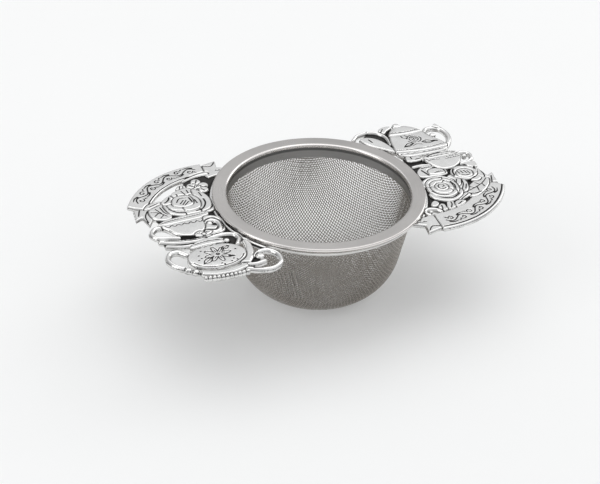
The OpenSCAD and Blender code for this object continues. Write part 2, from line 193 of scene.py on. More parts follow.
class Relief:
    """Heights above a casting's underside and the blackening on them, built up motif by motif."""

    def __init__(self, low, high):
        self.low = np.array(low, float)
        nx, ny = (np.ceil((np.array(high) - self.low) / STEP)).astype(int) + 1
        self.x, self.y = np.meshgrid(self.low[0] + STEP * np.arange(nx),
                                     self.low[1] + STEP * np.arange(ny), indexing="ij")
        self.height = np.full(self.x.shape, PLATE_T)
        self.black = np.full(self.x.shape, PLATE_BLACK)
        self.edge = np.full(self.x.shape, FAR)       # signed distance to the casting's outline
        self.level = FIRST_LEVEL

    def window(self, box, margin):
        i0, j0 = np.maximum(((box[0] - margin - self.low) / STEP).astype(int), 0)
        i1, j1 = ((box[1] + margin - self.low) / STEP).astype(int) + 2
        return slice(i0, max(i1, i0)), slice(j0, max(j1, j0))

    def fill(self, shape):
        """Plain plate, no relief."""
        w = self.window(shape[0], 2.0)
        self.edge[w] = np.minimum(self.edge[w], shape[1](self.x[w], self.y[w]))

    def raise_(self, shape, edge=0.5, rise=0.45, dome=0.06, dome_r=2.5, line=0.26):
        """One motif over all before it, with a rounded edge, a black groove round it and a dome.

        The edge's rounding is as wide as edge and as high as rise, the dome reaches dome_r in from the
        outline, and line is the width of the black in the groove.
        """
        w = self.window(shape[0], 2.0)
        d = shape[1](self.x[w], self.y[w])
        plate = self.edge[w]
        self.edge[w] = np.minimum(plate, d)
        t = np.clip(-d / edge, 0, 1)
        top = self.level - rise * (1 - t) ** 2
        u = np.clip(-d / dome_r, 0, 1)
        top = top + dome * np.sqrt(np.maximum(1 - (1 - u) ** 2, 0))
        h = self.height[w]
        groove = np.maximum(h - MOAT_DEPTH * np.clip(1 - d / MOAT, 0, 1), np.minimum(h, FLOOR_MIN))
        step = np.where(plate < -STEP, np.clip(0.5 - d / SLOPE, 0, 1), d < 0)
        self.height[w] = groove + (top - groove) * step
        stain = np.maximum(self.black[w], np.clip(BLACK_PEAK - np.maximum(d, 0) / line, 0, 1))
        self.black[w] = np.where(d < 0, np.clip(BLACK_PEAK + d / BLACK_REACH, 0, 1), stain)
        self.level += LEVEL_RISE

    def cut(self, path, width=0.22, depth=0.3, taper=False):
        """A blackened engraved line."""
        path = np.asarray(path, float)
        w = self.window((path.min(0), path.max(0)), 1.0)
        d = line_distance(self.x[w], self.y[w], path, width, 0.08 if taper else width) + width
        self.height[w] -= depth * np.clip(1 - (d / width) ** 2, 0, 1)
        self.black[w] = np.maximum(self.black[w], np.clip(2.3 - 1.5 * d / width, 0, 1))

    def engrave(self, width, *paths):
        """Engraved lines, each a smooth curve through its points."""
        for path in paths:
            self.cut(spline(path, 4), width)


def blurred(a, sigma):
    """A grid of values after a Gaussian blur, with sigma in millimetres."""
    n = int(3 * sigma / STEP)
    k = np.exp(-0.5 * (np.arange(-n, n + 1) * STEP / sigma) ** 2)
    k /= k.sum()
    out = np.pad(a, n, mode="edge")
    out = sum(k[i] * out[i:i + a.shape[0], :] for i in range(2 * n + 1))
    return sum(k[i] * out[:, i:i + a.shape[1]] for i in range(2 * n + 1))


def march(x, y, d):
    """Marching squares over the region where d is negative.

    Gives the mask of its grid points, the points where its edge crosses the grid, the inside grid point
    next to each, the faces (grid points first, then edge points) and the edge's loops.
    """
    inside = d < 0
    index = np.full(d.shape, -1)
    index[inside] = np.arange(inside.sum())
    first_edge = count = int(inside.sum())
    edge_xy, edge_from = [], []

    def crossings(a, b):
        nonlocal count
        cross = inside[a] != inside[b]
        da, db = d[a][cross], d[b][cross]
        f = np.clip(da / (da - db), 0.03, 0.97)
        edge_xy.append(np.stack([v[a][cross] * (1 - f) + v[b][cross] * f for v in (x, y)], -1))
        edge_from.append(np.where(inside[a][cross], index[a][cross], index[b][cross]))
        ids = np.full(cross.shape, -1)
        ids[cross] = count + np.arange(cross.sum())
        count += int(cross.sum())
        return ids

    along_x = crossings((slice(None, -1), slice(None)), (slice(1, None), slice(None)))
    along_y = crossings((slice(None), slice(None, -1)), (slice(None), slice(1, None)))
    inner = sum(c.astype(int) for c in (inside[:-1, :-1], inside[1:, :-1], inside[1:, 1:], inside[:-1, 1:]))
    i, j = np.nonzero(inner == 4)
    faces = np.c_[index[i, j], index[i + 1, j], index[i + 1, j + 1], index[i, j + 1]].tolist()
    following = {}
    for i, j in np.argwhere((inner > 0) & (inner < 4)):
        ring = (((i, j), along_x[i, j]), ((i + 1, j), along_y[i + 1, j]),
                ((i + 1, j + 1), along_x[i, j + 1]), ((i, j + 1), along_y[i, j]))
        poly, exits = [], []
        for corner, crossing in ring:
            if inside[corner]:
                poly.append(int(index[corner]))
            if crossing >= 0:
                poly.append(int(crossing))
                exits.append((int(crossing), inside[corner]))
        for k, (crossing, leaving) in enumerate(exits):
            if leaving:
                following[crossing] = exits[(k + 1) % len(exits)][0]
        faces.append(poly)

    loops, unused = [], set(following)
    while unused:
        loop = [min(unused)]
        while following[loop[-1]] != loop[0]:
            loop.append(following[loop[-1]])
        unused.difference_update(loop)
        loops.append(np.array(loop) - first_edge)
    return inside, np.vstack(edge_xy), np.concatenate(edge_from), faces, loops


def within(points, loops):
    """Which points lie inside the loops and in none of their holes, by counting crossings."""
    start = np.vstack([loop[:, :2] for loop in loops])
    end = np.vstack([np.roll(loop[:, :2], -1, axis=0) for loop in loops])
    odd = []
    for x, y in points:
        spans = (start[:, 1] > y) != (end[:, 1] > y)
        a, b = start[spans], end[spans]
        odd.append(np.sum(a[:, 0] + (y - a[:, 1]) * (b[:, 0] - a[:, 0]) / (b[:, 1] - a[:, 1]) > x) % 2 == 1)
    return np.array(odd)


INSIDE_FACES = 1         # what delaunay_2d_cdt gives: faces inside the edges, holes still covered
MERGE_BELOW = 1e-6


def flat_cap(loops):
    """Faces over the inside of the loops: points beyond the loops' own, faces and the loops' edges."""
    flat, edges = [], []
    for loop in loops:
        first = len(flat)
        flat += [Vector(p[:2]) for p in loop]
        edges += [(first + k, first + (k + 1) % len(loop)) for k in range(len(loop))]
    points, _, cells, source, _, _ = delaunay_2d_cdt(flat, edges, [], INSIDE_FACES, MERGE_BELOW)
    middles = np.array([sum((points[v] for v in cell), Vector((0, 0))) / len(cell) for cell in cells])
    cells = [cell for cell, keep in zip(cells, within(middles, loops)) if keep]
    place, extra = [], []
    for p, origin in zip(points, source):
        place.append(origin[0] if origin else len(flat) + len(extra))
        if not origin:
            extra.append([p.x, p.y])
    return extra, [[place[v] for v in cell] for cell in cells], edges


def prism(loops, z0, z1):
    """Points and faces of a flat plate with holes, from its outline loops."""
    loops = [np.asarray(loop)[:, :2] for loop in loops]
    extra, cells, edges = flat_cap(loops)
    flat = np.vstack(loops + ([extra] if extra else []))
    n = len(flat)
    verts = np.vstack([np.c_[flat, np.full(n, z1)], np.c_[flat, np.full(n, z0)]])
    faces = cells + [[v + n for v in reversed(cell)] for cell in cells]
    faces += [[b, a, a + n, b + n] for a, b in edges]
    return verts, faces


def without_pinholes(x, y, d):
    """The same region with its smallest holes closed."""
    d = d.copy()
    _, edge_xy, _, _, loops = march(x, y, d)
    for loop in loops:
        if len(loop) < PINHOLE:
            low = ((edge_xy[loop].min(axis=0) - (x[0, 0], y[0, 0])) / STEP).astype(int) - 1
            high = ((edge_xy[loop].max(axis=0) - (x[0, 0], y[0, 0])) / STEP).astype(int) + 3
            hole = slice(low[0], high[0]), slice(low[1], high[1])
            d[hole] = np.minimum(d[hole], -0.3 * STEP)
    return d


def evened(ring, times):
    """A closed row of points with the steps that the grid leaves smoothed out."""
    for _ in range(times):
        ring = 0.5 * ring + 0.25 * (np.roll(ring, 1, axis=0) + np.roll(ring, -1, axis=0))
    return ring


def casting_piece(name, verts, faces, node, material, smooth_to=None):
    """One piece of a casting, from points above its underside.

    Its edges are sharp where both ends come from smooth_to on, or else where the surface bends a lot.
    """
    obj = make_object(name, np.asarray(verts) + [0, 0, CASTING_Z], faces, material)
    if smooth_to is None:
        obj.data.set_sharp_from_angle(angle=math.radians(50))
    else:
        ends = np.array([edge.vertices[:] for edge in obj.data.edges])
        sharp = obj.data.attributes.new("sharp_edge", "BOOLEAN", "EDGE")
        sharp.data.foreach_set("value", ends.min(axis=1) >= smooth_to)
    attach(obj, "holder")
    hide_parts(node)
    return obj


def casting_edge(relief, loops, inside, edge_xy, edge_from):
    """Points round the top of a casting's sides, with the steps of the grid evened out."""
    edge = np.c_[edge_xy, relief.height[inside][edge_from] - EDGE_DROP]
    for loop in loops:
        edge[loop] = np.c_[evened(edge[loop, :2], 3), evened(edge[loop, 2], 15)]
    return edge


def chamfered(xy):
    """A closed outline moved in by the width of the chamfer."""
    run = np.roll(xy, -1, axis=0) - np.roll(xy, 1, axis=0)
    outward = np.c_[run[:, 1], -run[:, 0]] / np.maximum(np.hypot(run[:, 0], run[:, 1]), 1e-6)[:, None]
    return xy - CHAMFER * evened(outward, 2)


def casting(name, relief, node, material):
    """The closed mesh of a casting from its relief, with its blackening, and a painted shade on its sides,
    as a point attribute.

    Its points are the top's, the edge's, the chamfer's upper row and then the underside's.
    """
    d = np.maximum(relief.edge, RING_R + 0.1 - np.hypot(relief.x, relief.y))
    d = without_pinholes(relief.x, relief.y, d)
    inside, edge_xy, edge_from, faces, loops = march(relief.x, relief.y, d)
    z = relief.height - EDGE_DROP * (1 - np.clip(-d / EDGE_ROUND, 0, 1)) ** 2
    top = np.c_[relief.x[inside], relief.y[inside], z[inside]]
    edge = casting_edge(relief, loops, inside, edge_xy, edge_from)
    first_wall = len(top) + len(edge)
    walls, rims = [], []
    base = first_wall
    for loop in loops:
        n = len(loop)
        xy = edge[loop, :2]
        rims.append(chamfered(xy))
        walls.append(np.c_[xy, np.full(n, FOOT_H + CHAMFER)])
        for k in range(n):
            a, b = len(top) + loop[k], len(top) + loop[(k + 1) % n]
            c, e = base + k, base + (k + 1) % n
            faces.append([b, a, c, e])
            faces.append([e, c, c + len(edge), e + len(edge)])
        base += n
    extra, cells, _ = flat_cap(rims)
    faces += [[base + v for v in reversed(cell)] for cell in cells]
    under = np.vstack(rims + ([extra] if extra else []))
    verts = np.vstack([top, edge] + walls + [np.c_[under, np.full(len(under), FOOT_H)]])
    obj = casting_piece(name, verts, faces, node, material, smooth_to=base)

    # painted shade: the sides, the chamfer and the underside are painted grey; the top keeps its blackening
    # and the rim row stays clean
    shade = np.full(len(obj.data.vertices), WALL_PAINTED_SHADE)
    shade[:len(top)] = np.maximum(relief.black, 0.5 * blurred(relief.black, 0.3))[inside]
    shade[len(top):first_wall] = RIM_PATINA
    attribute = obj.data.attributes.new("patina_and_painted_shade", "FLOAT", "POINT")
    attribute.data.foreach_set("value", shade.astype(np.float32))
    casting_foot(name.replace("relief", "foot"), relief, inside, edge, node, material)


def casting_foot(name, relief, inside, edge, node, material):
    """The foot under a casting, FOOT_IN in from its edge, on a grid three times as coarse."""
    x, y, solid = (v[::3, ::3] for v in (relief.x, relief.y, inside))
    near = np.full(x.shape, -1.0)
    for i, j in np.argwhere(solid):
        near[i, j] = np.hypot(edge[:, 0] - x[i, j], edge[:, 1] - y[i, j]).min()
    foot = np.maximum(FOOT_IN - near, COLLAR_R - 0.5 - np.hypot(x, y))
    _, edge_xy, _, _, loops = march(x, y, foot)
    verts, faces = prism([evened(edge_xy[loop], 2) for loop in loops if len(loop) > 8], 0, FOOT_H + 0.1)
    casting_piece(name, verts, faces, node, material)


# ---------- motifs that both castings use ----------
def tube(relief, points, w0, w1):
    """A bright rounded scroll."""
    half = min(w0, w1)
    relief.raise_(stroke(points, w0, w1), edge=0.9 * half + 0.2, rise=0.75, dome=0, line=0.22)


def petal(relief, *points, **form):
    """A motif with a smooth outline through the points."""
    relief.raise_(blob(points), **form)


def bead(relief, x, y, size, **form):
    relief.raise_(disc(x, y, size), **form)


def web(relief, a0, a1):
    """The plate's edge next to the ring, with a plain raised strip on it."""
    for r, put in ((WEB_R, relief.fill), (WEB_R - 0.6, relief.raise_)):
        put(outline(np.vstack([arc((0, 0), r, a0, a1, 40), arc((0, 0), RING_R, a1, a0, 40)])))


def scallops(relief, start, end, count, sag, width=0.16):
    """A row of small hanging loops from start to end."""
    start, end = np.array(start, float), np.array(end, float)
    for k in range(count):
        a, b = start + (end - start) * k / count, start + (end - start) * (k + 1) / count
        relief.engrave(width, [a, (a + b) / 2 - (0, sag), b])


def vine(relief, centre, r, a0, a1, bays):
    """An engraved running scroll with leaves along a banner, in place of any lettering."""
    def place(angle, reach):
        return np.array(centre) + np.c_[reach * np.cos(angle), reach * np.sin(angle)]

    t = np.linspace(0, bays, 14 * bays + 1)
    step = math.radians(a1 - a0) / bays
    relief.cut(place(math.radians(a0) + t * step, r + 1.15 * np.sin(math.pi * t)), 0.22)
    for k in range(bays):
        away = -1 if k % 2 else 1
        b = math.radians(a0) + (k + 0.5) * step
        curl = np.radians(np.linspace(180, 560, 16))
        reach = np.linspace(1.25, 0.25, 16)
        curled = place(b + (0.1 + reach * np.cos(curl)) / r, r - away * (0.7 - reach * np.sin(curl)))
        relief.cut(curled, 0.18)
        leaf = place(b + np.array([-0.3, 0.0, 0.42]) * step, r + away * np.array([1.35, 2.0, 1.75]))
        relief.cut(spline(leaf, 4), 0.36, taper=True)
        stalk = place(b + np.array([-0.36, -0.5]) * step, r - away * np.array([1.5, 2.1]))
        relief.cut(stalk, 0.28, taper=True)


def banner_outline(extra):
    last = math.radians(-20.4)
    r = BANNER_R - BANNER_W / 2 + 0.8
    nose = [[BANNER_C[0] + r * math.cos(last), BANNER_C[1] + r * math.sin(last)]]
    return np.vstack([arc(BANNER_C, BANNER_R, -90.5, -22, 40), nose,
                      arc(BANNER_C, BANNER_R - BANNER_W - extra, -20, -90.5, 40)])


TAIL_OUT = [[60.2, -7], [59.2, -2.2], [62.2, 3.3], [63.6, -2.4], [66.2, -0.8], [65.6, -8]]
TAIL_IN = [[34.4, -22.2], [27.3, -24.3], [25.2, -26.6], [29.4, -28.6], [28.9, -33.2], [35.2, -31.2],
           [37.5, -28]]


def ribbon(relief, turned, extra, border, border_w, vine_r):
    """The banner with a notched tail at each end, and a border line beside one edge."""
    put = mirrored if turned else np.array
    centre = put(BANNER_C)
    turn = 180 if turned else 0
    for tail in (TAIL_OUT, TAIL_IN):
        relief.raise_(outline(put(tail)))
    relief.engrave(0.2, put([[60.9, -6], [62.4, -2.6], [62.3, 1.2]]), put([[63.4, -7.4], [64.6, -3.6]]),
                   put([[34.4, -30.2], [31.6, -29.6], [29.8, -31.8]]), put([[27.2, -26], [30.6, -26.4]]))
    relief.level += RIBBON_RISE
    relief.raise_(outline(put(banner_outline(extra))), edge=0.6)
    relief.cut(arc(centre, border, turn - 89, turn - 23, 40), border_w)
    vine(relief, centre, vine_r, turn - 85, turn - 27, 7)


# ---------- the left casting ----------
def left_relief():
    r = Relief((-69, -43), (-21, 36))
    web(r, 141, 224)
    for recess in ([[-44.5, 20.5], [-42, 24.5], [-34, 25.5], [-30, 24], [-36, 10], [-42, 13]],
                   [[-45, -1], [-38, 6], [-37, -15], [-45, -15.5]],
                   [[-46.5, -17], [-40, -15.2], [-36, -16.5], [-35.5, -22], [-46, -21]],
                   [[-60.5, -12.4], [-60.5, -17], [-50, -18.4], [-44, -14]],
                   [[-60.5, 3.5], [-58.5, -3], [-48, -2], [-50, 5], [-56, 8]],
                   [[-36.5, -30], [-32.5, -29], [-31, -35.5], [-38, -37]]):
        r.fill(outline(np.array(recess)))
    ribbon(r, True, 0, BANNER_R - BANNER_W + 0.8, 0.2, BANNER_R - 3.5)
    tube(r, [[-34.6, 25.4], [-38.4, 24.7], [-44, 22.2]], 1, 0.45)
    left_rose(r)
    left_cup(r)
    left_pot(r)
    return r


def left_rose(r):
    petal(r, [-61.6, 6.8], [-60.4, 9.6], [-57, 11], [-54, 11], [-54.6, 8])
    petal(r, [-60.8, 5.6], [-57.6, 7.9], [-54.6, 8.7], [-53.2, 3.6], [-53.8, -0.6], [-57.2, -1.4],
          [-60.2, 0.8])
    r.engrave(0.17, [[-60, 4.6], [-57.4, 3.6], [-55, 0.8]], [[-58, 6.2], [-56.6, 3.2]],
              [[-59.2, 1.8], [-57.4, 3.6]], [[-56.2, 6.8], [-55.6, 3.6], [-54.6, 2]],
              [[-57.6, 0.2], [-56.2, 1.8]], [[-59.6, 8.2], [-56.4, 9.8]])
    petal(r, [-47.9, 17.2], [-46.6, 19.5], [-44.6, 19.6], [-43.8, 17.6], [-45.4, 16])
    r.engrave(0.15, [[-46.4, 17.2], [-46, 18.9]], [[-45.3, 17], [-44.9, 18.4]])
    petal(r, [-43.2, 3.6], [-40.6, 5.6], [-37.2, 4], [-37.2, 1], [-41, 0.2])

    for x, y in ((-39.7, 20.4), (-41.9, 17.9), (-37.6, 17.6), (-40.9, 14.6), (-38.2, 14.8)):
        bead(r, x, y, 1.9)
    r.engrave(0.17, [[-42.6, 18.6], [-41.4, 17.2]], [[-39.2, 21.2], [-40, 19.4]],
              [[-36.6, 16.6], [-38.6, 16.4]], [[-41.6, 13.6], [-40.4, 15.4]], [[-38, 13.8], [-38.9, 15.3]])
    bead(r, -39.8, 17.1, 1.2)
    r.engrave(0.14, [[-40.3, 16.8], [-39.8, 17.6], [-39.3, 16.9]])

    petal(r, [-55.2, 9.4], [-53.9, 11.9], [-50.6, 14.2], [-47.6, 14.4], [-48.4, 10.8], [-51.6, 8.2],
          [-53.8, 7.4])
    petal(r, [-50.6, 14.2], [-47.6, 16.4], [-44, 17.4], [-41.8, 14.6], [-44, 11], [-48.4, 10.8])
    petal(r, [-42.4, 16], [-38.6, 12], [-37.6, 7.4], [-38.6, 2.6], [-43.2, 0.4], [-45.2, 2], [-42.2, 5.6],
          [-43, 10.6])
    petal(r, [-54.9, 7.8], [-54.2, 2.8], [-51.4, 0.2], [-46.8, -0.6], [-42.8, 0.6], [-43.8, 4.2],
          [-48.4, 3.4], [-51.6, 5.8])
    petal(r, [-53.6, 7.6], [-52.8, 4.6], [-50.4, 3], [-47.6, 2.9], [-47.4, 5.6], [-50.2, 7.4])
    petal(r, [-44.2, 12.6], [-41.7, 9.6], [-41.6, 5.6], [-43.4, 2.9], [-47.6, 2.4], [-48.3, 5.4],
          [-44.6, 7])
    petal(r, [-51.4, 6.4], [-51.4, 9.4], [-49.8, 12], [-47, 12.6], [-44.3, 11.6], [-43.6, 8.2],
          [-44.9, 5.6], [-48.2, 4.9])
    r.engrave(0.26, [[-53.4, 4.6], [-51.2, 2], [-48.4, 1.4]],
              [[-40.1, 8.4], [-40.1, 5.6], [-41.8, 2.4], [-44.4, 1.4]], [[-44.9, 10.4], [-44.4, 7.4]],
              [[-53.8, 9.2], [-52.4, 10.4], [-51.6, 12.2]])
    r.engrave(0.18, [[-48.8, 7], [-47.2, 9.2]], [[-48, 6.3], [-46.2, 9]], [[-47.4, 5.8], [-45.4, 8.2]],
              [[-49.8, 8.2], [-48.4, 10.4], [-46, 10.6]], [[-48.6, 13.8], [-48.4, 12.4]],
              [[-46.4, 15.2], [-45.6, 12.9]], [[-44.4, 15.6], [-44.2, 13.4]], [[-51, 13.4], [-50.2, 12]],
              [[-48.4, 1.2], [-48.3, -0.2]], [[-40.6, 13], [-40.2, 10.4]], [[-43.2, 8.8], [-42.9, 6.2]])


def left_cup(r):
    tube(r, [[-61, -14], [-57, -15.4], [-50.5, -16.2], [-45, -15.2], [-41.6, -13.2]], 1.2, 0.9)
    r.engrave(0.14, [[-60, -14.6], [-55, -15.9], [-49.6, -16.3], [-45.4, -15.4]])
    tube(r, [[-59.8, -17.4], [-54.5, -18.9], [-49.8, -18.6]], 0.75, 0.7)
    tube(r, [[-57.4, -5.9], [-60.8, -5.4], [-63, -8.4], [-61.4, -11.6], [-57.8, -12.3], [-54.6, -13.2]],
         1.05, 0.85)
    petal(r, [-58.6, -4.9], [-50, -4.2], [-43.2, -3.4], [-43.6, -8], [-45.4, -11.4], [-48.6, -13.4],
          [-52, -13.4], [-55, -11.6], [-57, -8.4], dome=0.25, dome_r=4)
    scallops(r, (-57.6, -5.9), (-43.9, -4.9), 6, 1.1)
    r.engrave(0.26, [[-54.2, -12.7], [-51.2, -13.6], [-48.6, -13.6]])
    petal(r, [-60, -4.3], [-56.6, -1.8], [-50, -0.5], [-42.6, 0.4], [-40.6, -0.8], [-42.8, -3],
          [-50, -4.2], [-57, -5])
    r.engrave(0.14, [[-58.8, -4], [-55, -2.8], [-48, -1.8], [-42, -0.8]])
    petal(r, [-43.6, -3.2], [-40.8, -2.6], [-38.2, -4.4], [-37.6, -9], [-38.2, -13], [-41.6, -14.6],
          [-45, -13], [-43.8, -8])
    r.engrave(0.7, [[-41.6, -8.6], [-40.6, -9]])
    tube(r, [[-44.2, -11.9], [-41, -12.6], [-39.1, -10.4], [-39.1, -7], [-41, -5.1], [-42.9, -5.9]], 1.05,
         0.9)
    bead(r, -42.2, -7.2, 1.15, edge=0.9, rise=0.7)
    petal(r, [-49.1, -12.9], [-47, -11.5], [-45.5, -12.8], [-46.6, -14.6], [-48.4, -14.5])
    petal(r, [-45.6, -12.8], [-43.9, -11.6], [-42.6, -12.5], [-44, -14.2], [-45.6, -14.3])
    bead(r, -45.9, -13.4, 0.75)
    r.engrave(0.14, [[-48.4, -13.1], [-47.2, -12.8]], [[-44.9, -12.7], [-43.6, -12.6]])


def left_pot(r):
    tube(r, [[-46, -17.1], [-43, -15.6], [-39.2, -15], [-36.1, -16], [-35, -18.6], [-36.4, -21.8]], 0.95,
         0.9)
    tube(r, [[-54.8, -24], [-57.2, -21.5], [-60.2, -22.1], [-61.5, -25.6], [-60.1, -29.4], [-57, -32.4],
             [-53.6, -34.9]], 1.05, 0.95)
    bead(r, -56.6, -32.9, 1.2, edge=0.9, rise=0.6)
    bead(r, -54.4, -34.6, 1.1, edge=0.9, rise=0.6)
    tube(r, [[-37, -33], [-34, -28.6], [-33.2, -23.6], [-33.5, -20.8]], 2.2, 0.9)
    tube(r, [[-37.4, -37.2], [-33, -38.9], [-28.6, -39], [-25.3, -36], [-24.9, -31.6], [-27.5, -28.4],
             [-30.8, -28.5], [-32.4, -30.6]], 1, 1)
    bead(r, -31.2, -31.2, 1.6, edge=1.1, rise=0.7)
    r.engrave(0.24, [[-35.4, -38.1], [-32.4, -38.8], [-30.2, -38.7]])
    tube(r, [[-38.2, -34.6], [-34, -35.4], [-30.6, -34.6]], 0.75, 0.9)
    r.raise_(stroke([[-51.8, -36.4], [-47.5, -37.6], [-42.6, -37.5], [-37.8, -35.8]], 1.3, 1.2))
    for k in range(11):
        place = (-52.2 + 1.45 * k, -39.7 + 0.026 * (k - 4.4) ** 2)
        bead(r, place[0], place[1], 0.84, edge=0.7, rise=0.5, line=0.3)
    petal(r, [-53, -21.9], [-51.2, -19], [-47.8, -17], [-44.6, -16.7], [-41.6, -17.6], [-38.4, -19.6],
          [-41, -20.6], [-47, -20.9])
    r.engrave(0.16, [[-50.9, -19.9], [-46.6, -18.9], [-41.4, -18.9]])
    bead(r, -39.6, -19.4, 1.1, edge=0.9, rise=0.6)
    r.raise_(outline(closed_ellipse((-45.4, -28.2), 10.3, 7.1, 5)), dome=0.3, dome_r=4, line=0.34)
    r.engrave(0.15, closed_ellipse((-45.4, -28.6), 9.2, 6.1, 5)[26:47:2])
    for k in range(5):
        a = np.array([-50.6 + 2.2 * k, -22.9 + 0.36 * k])
        r.engrave(0.15, [a, a + (1.1, 0.35)])
    pot_flower(r, -45, -27.8)


def closed_ellipse(centre, a, b, turn, n=48):
    t = np.linspace(0, 2 * math.pi, n, endpoint=False)
    c, s = math.cos(math.radians(turn)), math.sin(math.radians(turn))
    return np.c_[centre[0] + a * np.cos(t) * c - b * np.sin(t) * s,
                 centre[1] + a * np.cos(t) * s + b * np.sin(t) * c]


def pot_flower(relief, x, y):
    """An engraved daisy with two leaves, a bud and a scatter of dots on a pot's side."""
    for k in range(8):
        a = 45 * k + 12
        c, s = math.cos(math.radians(a)), math.sin(math.radians(a))
        loop = closed_ellipse((x + 2.9 * c, y + 2.6 * s), 1.9, 0.8, a, 14)
        relief.cut(loop[[5, 4, 3, 2, 1, 0, 13, 12, 11, 10, 9]], 0.15)
        relief.cut([[x + 1.5 * c, y + 1.3 * s], [x + 3 * c, y + 2.6 * s]], 0.12)
    relief.cut(arc((x, y), 0.5, 0, 360, 8), 0.2)
    leaves = ((-2.4, -1.6), (-6, -4.6), 0.8), ((1.8, 2.2), (5, 4.4), 0.6), ((3.2, -2), (5.4, -2.2), 0.4)
    for root, tip, bend in leaves:
        root, tip = np.array(root) + (x, y), np.array(tip) + (x, y)
        mid = (root + tip) / 2
        for side in (-bend, bend):
            relief.engrave(0.16, [root, mid + (side, -side), tip])
        relief.engrave(0.12, [root, tip])
    dots = ((-6.6, 0.4), (-6, -1.2), (-5.2, 3), (4.4, -3.8), (5.4, -4.6), (3.4, -5.2), (-0.2, -5.6),
            (0.6, -6.3), (-7.2, -2.2), (6.4, 1.4))
    for dx, dy in dots:
        relief.cut([[x + dx, y + dy], [x + dx + 0.2, y + dy + 0.1]], 0.24)


# ---------- the right casting ----------
def right_relief():
    r = Relief((21, -36), (69, 43))
    web(r, -37, 44)
    for recess in ([[35, -19], [46, -18.5], [57, -13], [61.5, -6], [61, 4], [56, 8], [46, 13], [38, 17]],
                   [[26.8, 33], [31, 37], [37.5, 36], [40, 30], [36, 24]],
                   [[38, 34], [39.5, 37.5], [43, 38], [42, 33]],
                   [[53, 27.5], [56.5, 23.5], [56, 20], [52, 24]]):
        r.fill(outline(np.array(recess)))
    ribbon(r, False, RIGHT_BANNER_EXTRA, BANNER_R - 1.2, 0.26, BANNER_R - 4.6)
    right_rose(r)
    right_cup(r)
    right_pot(r)
    return r


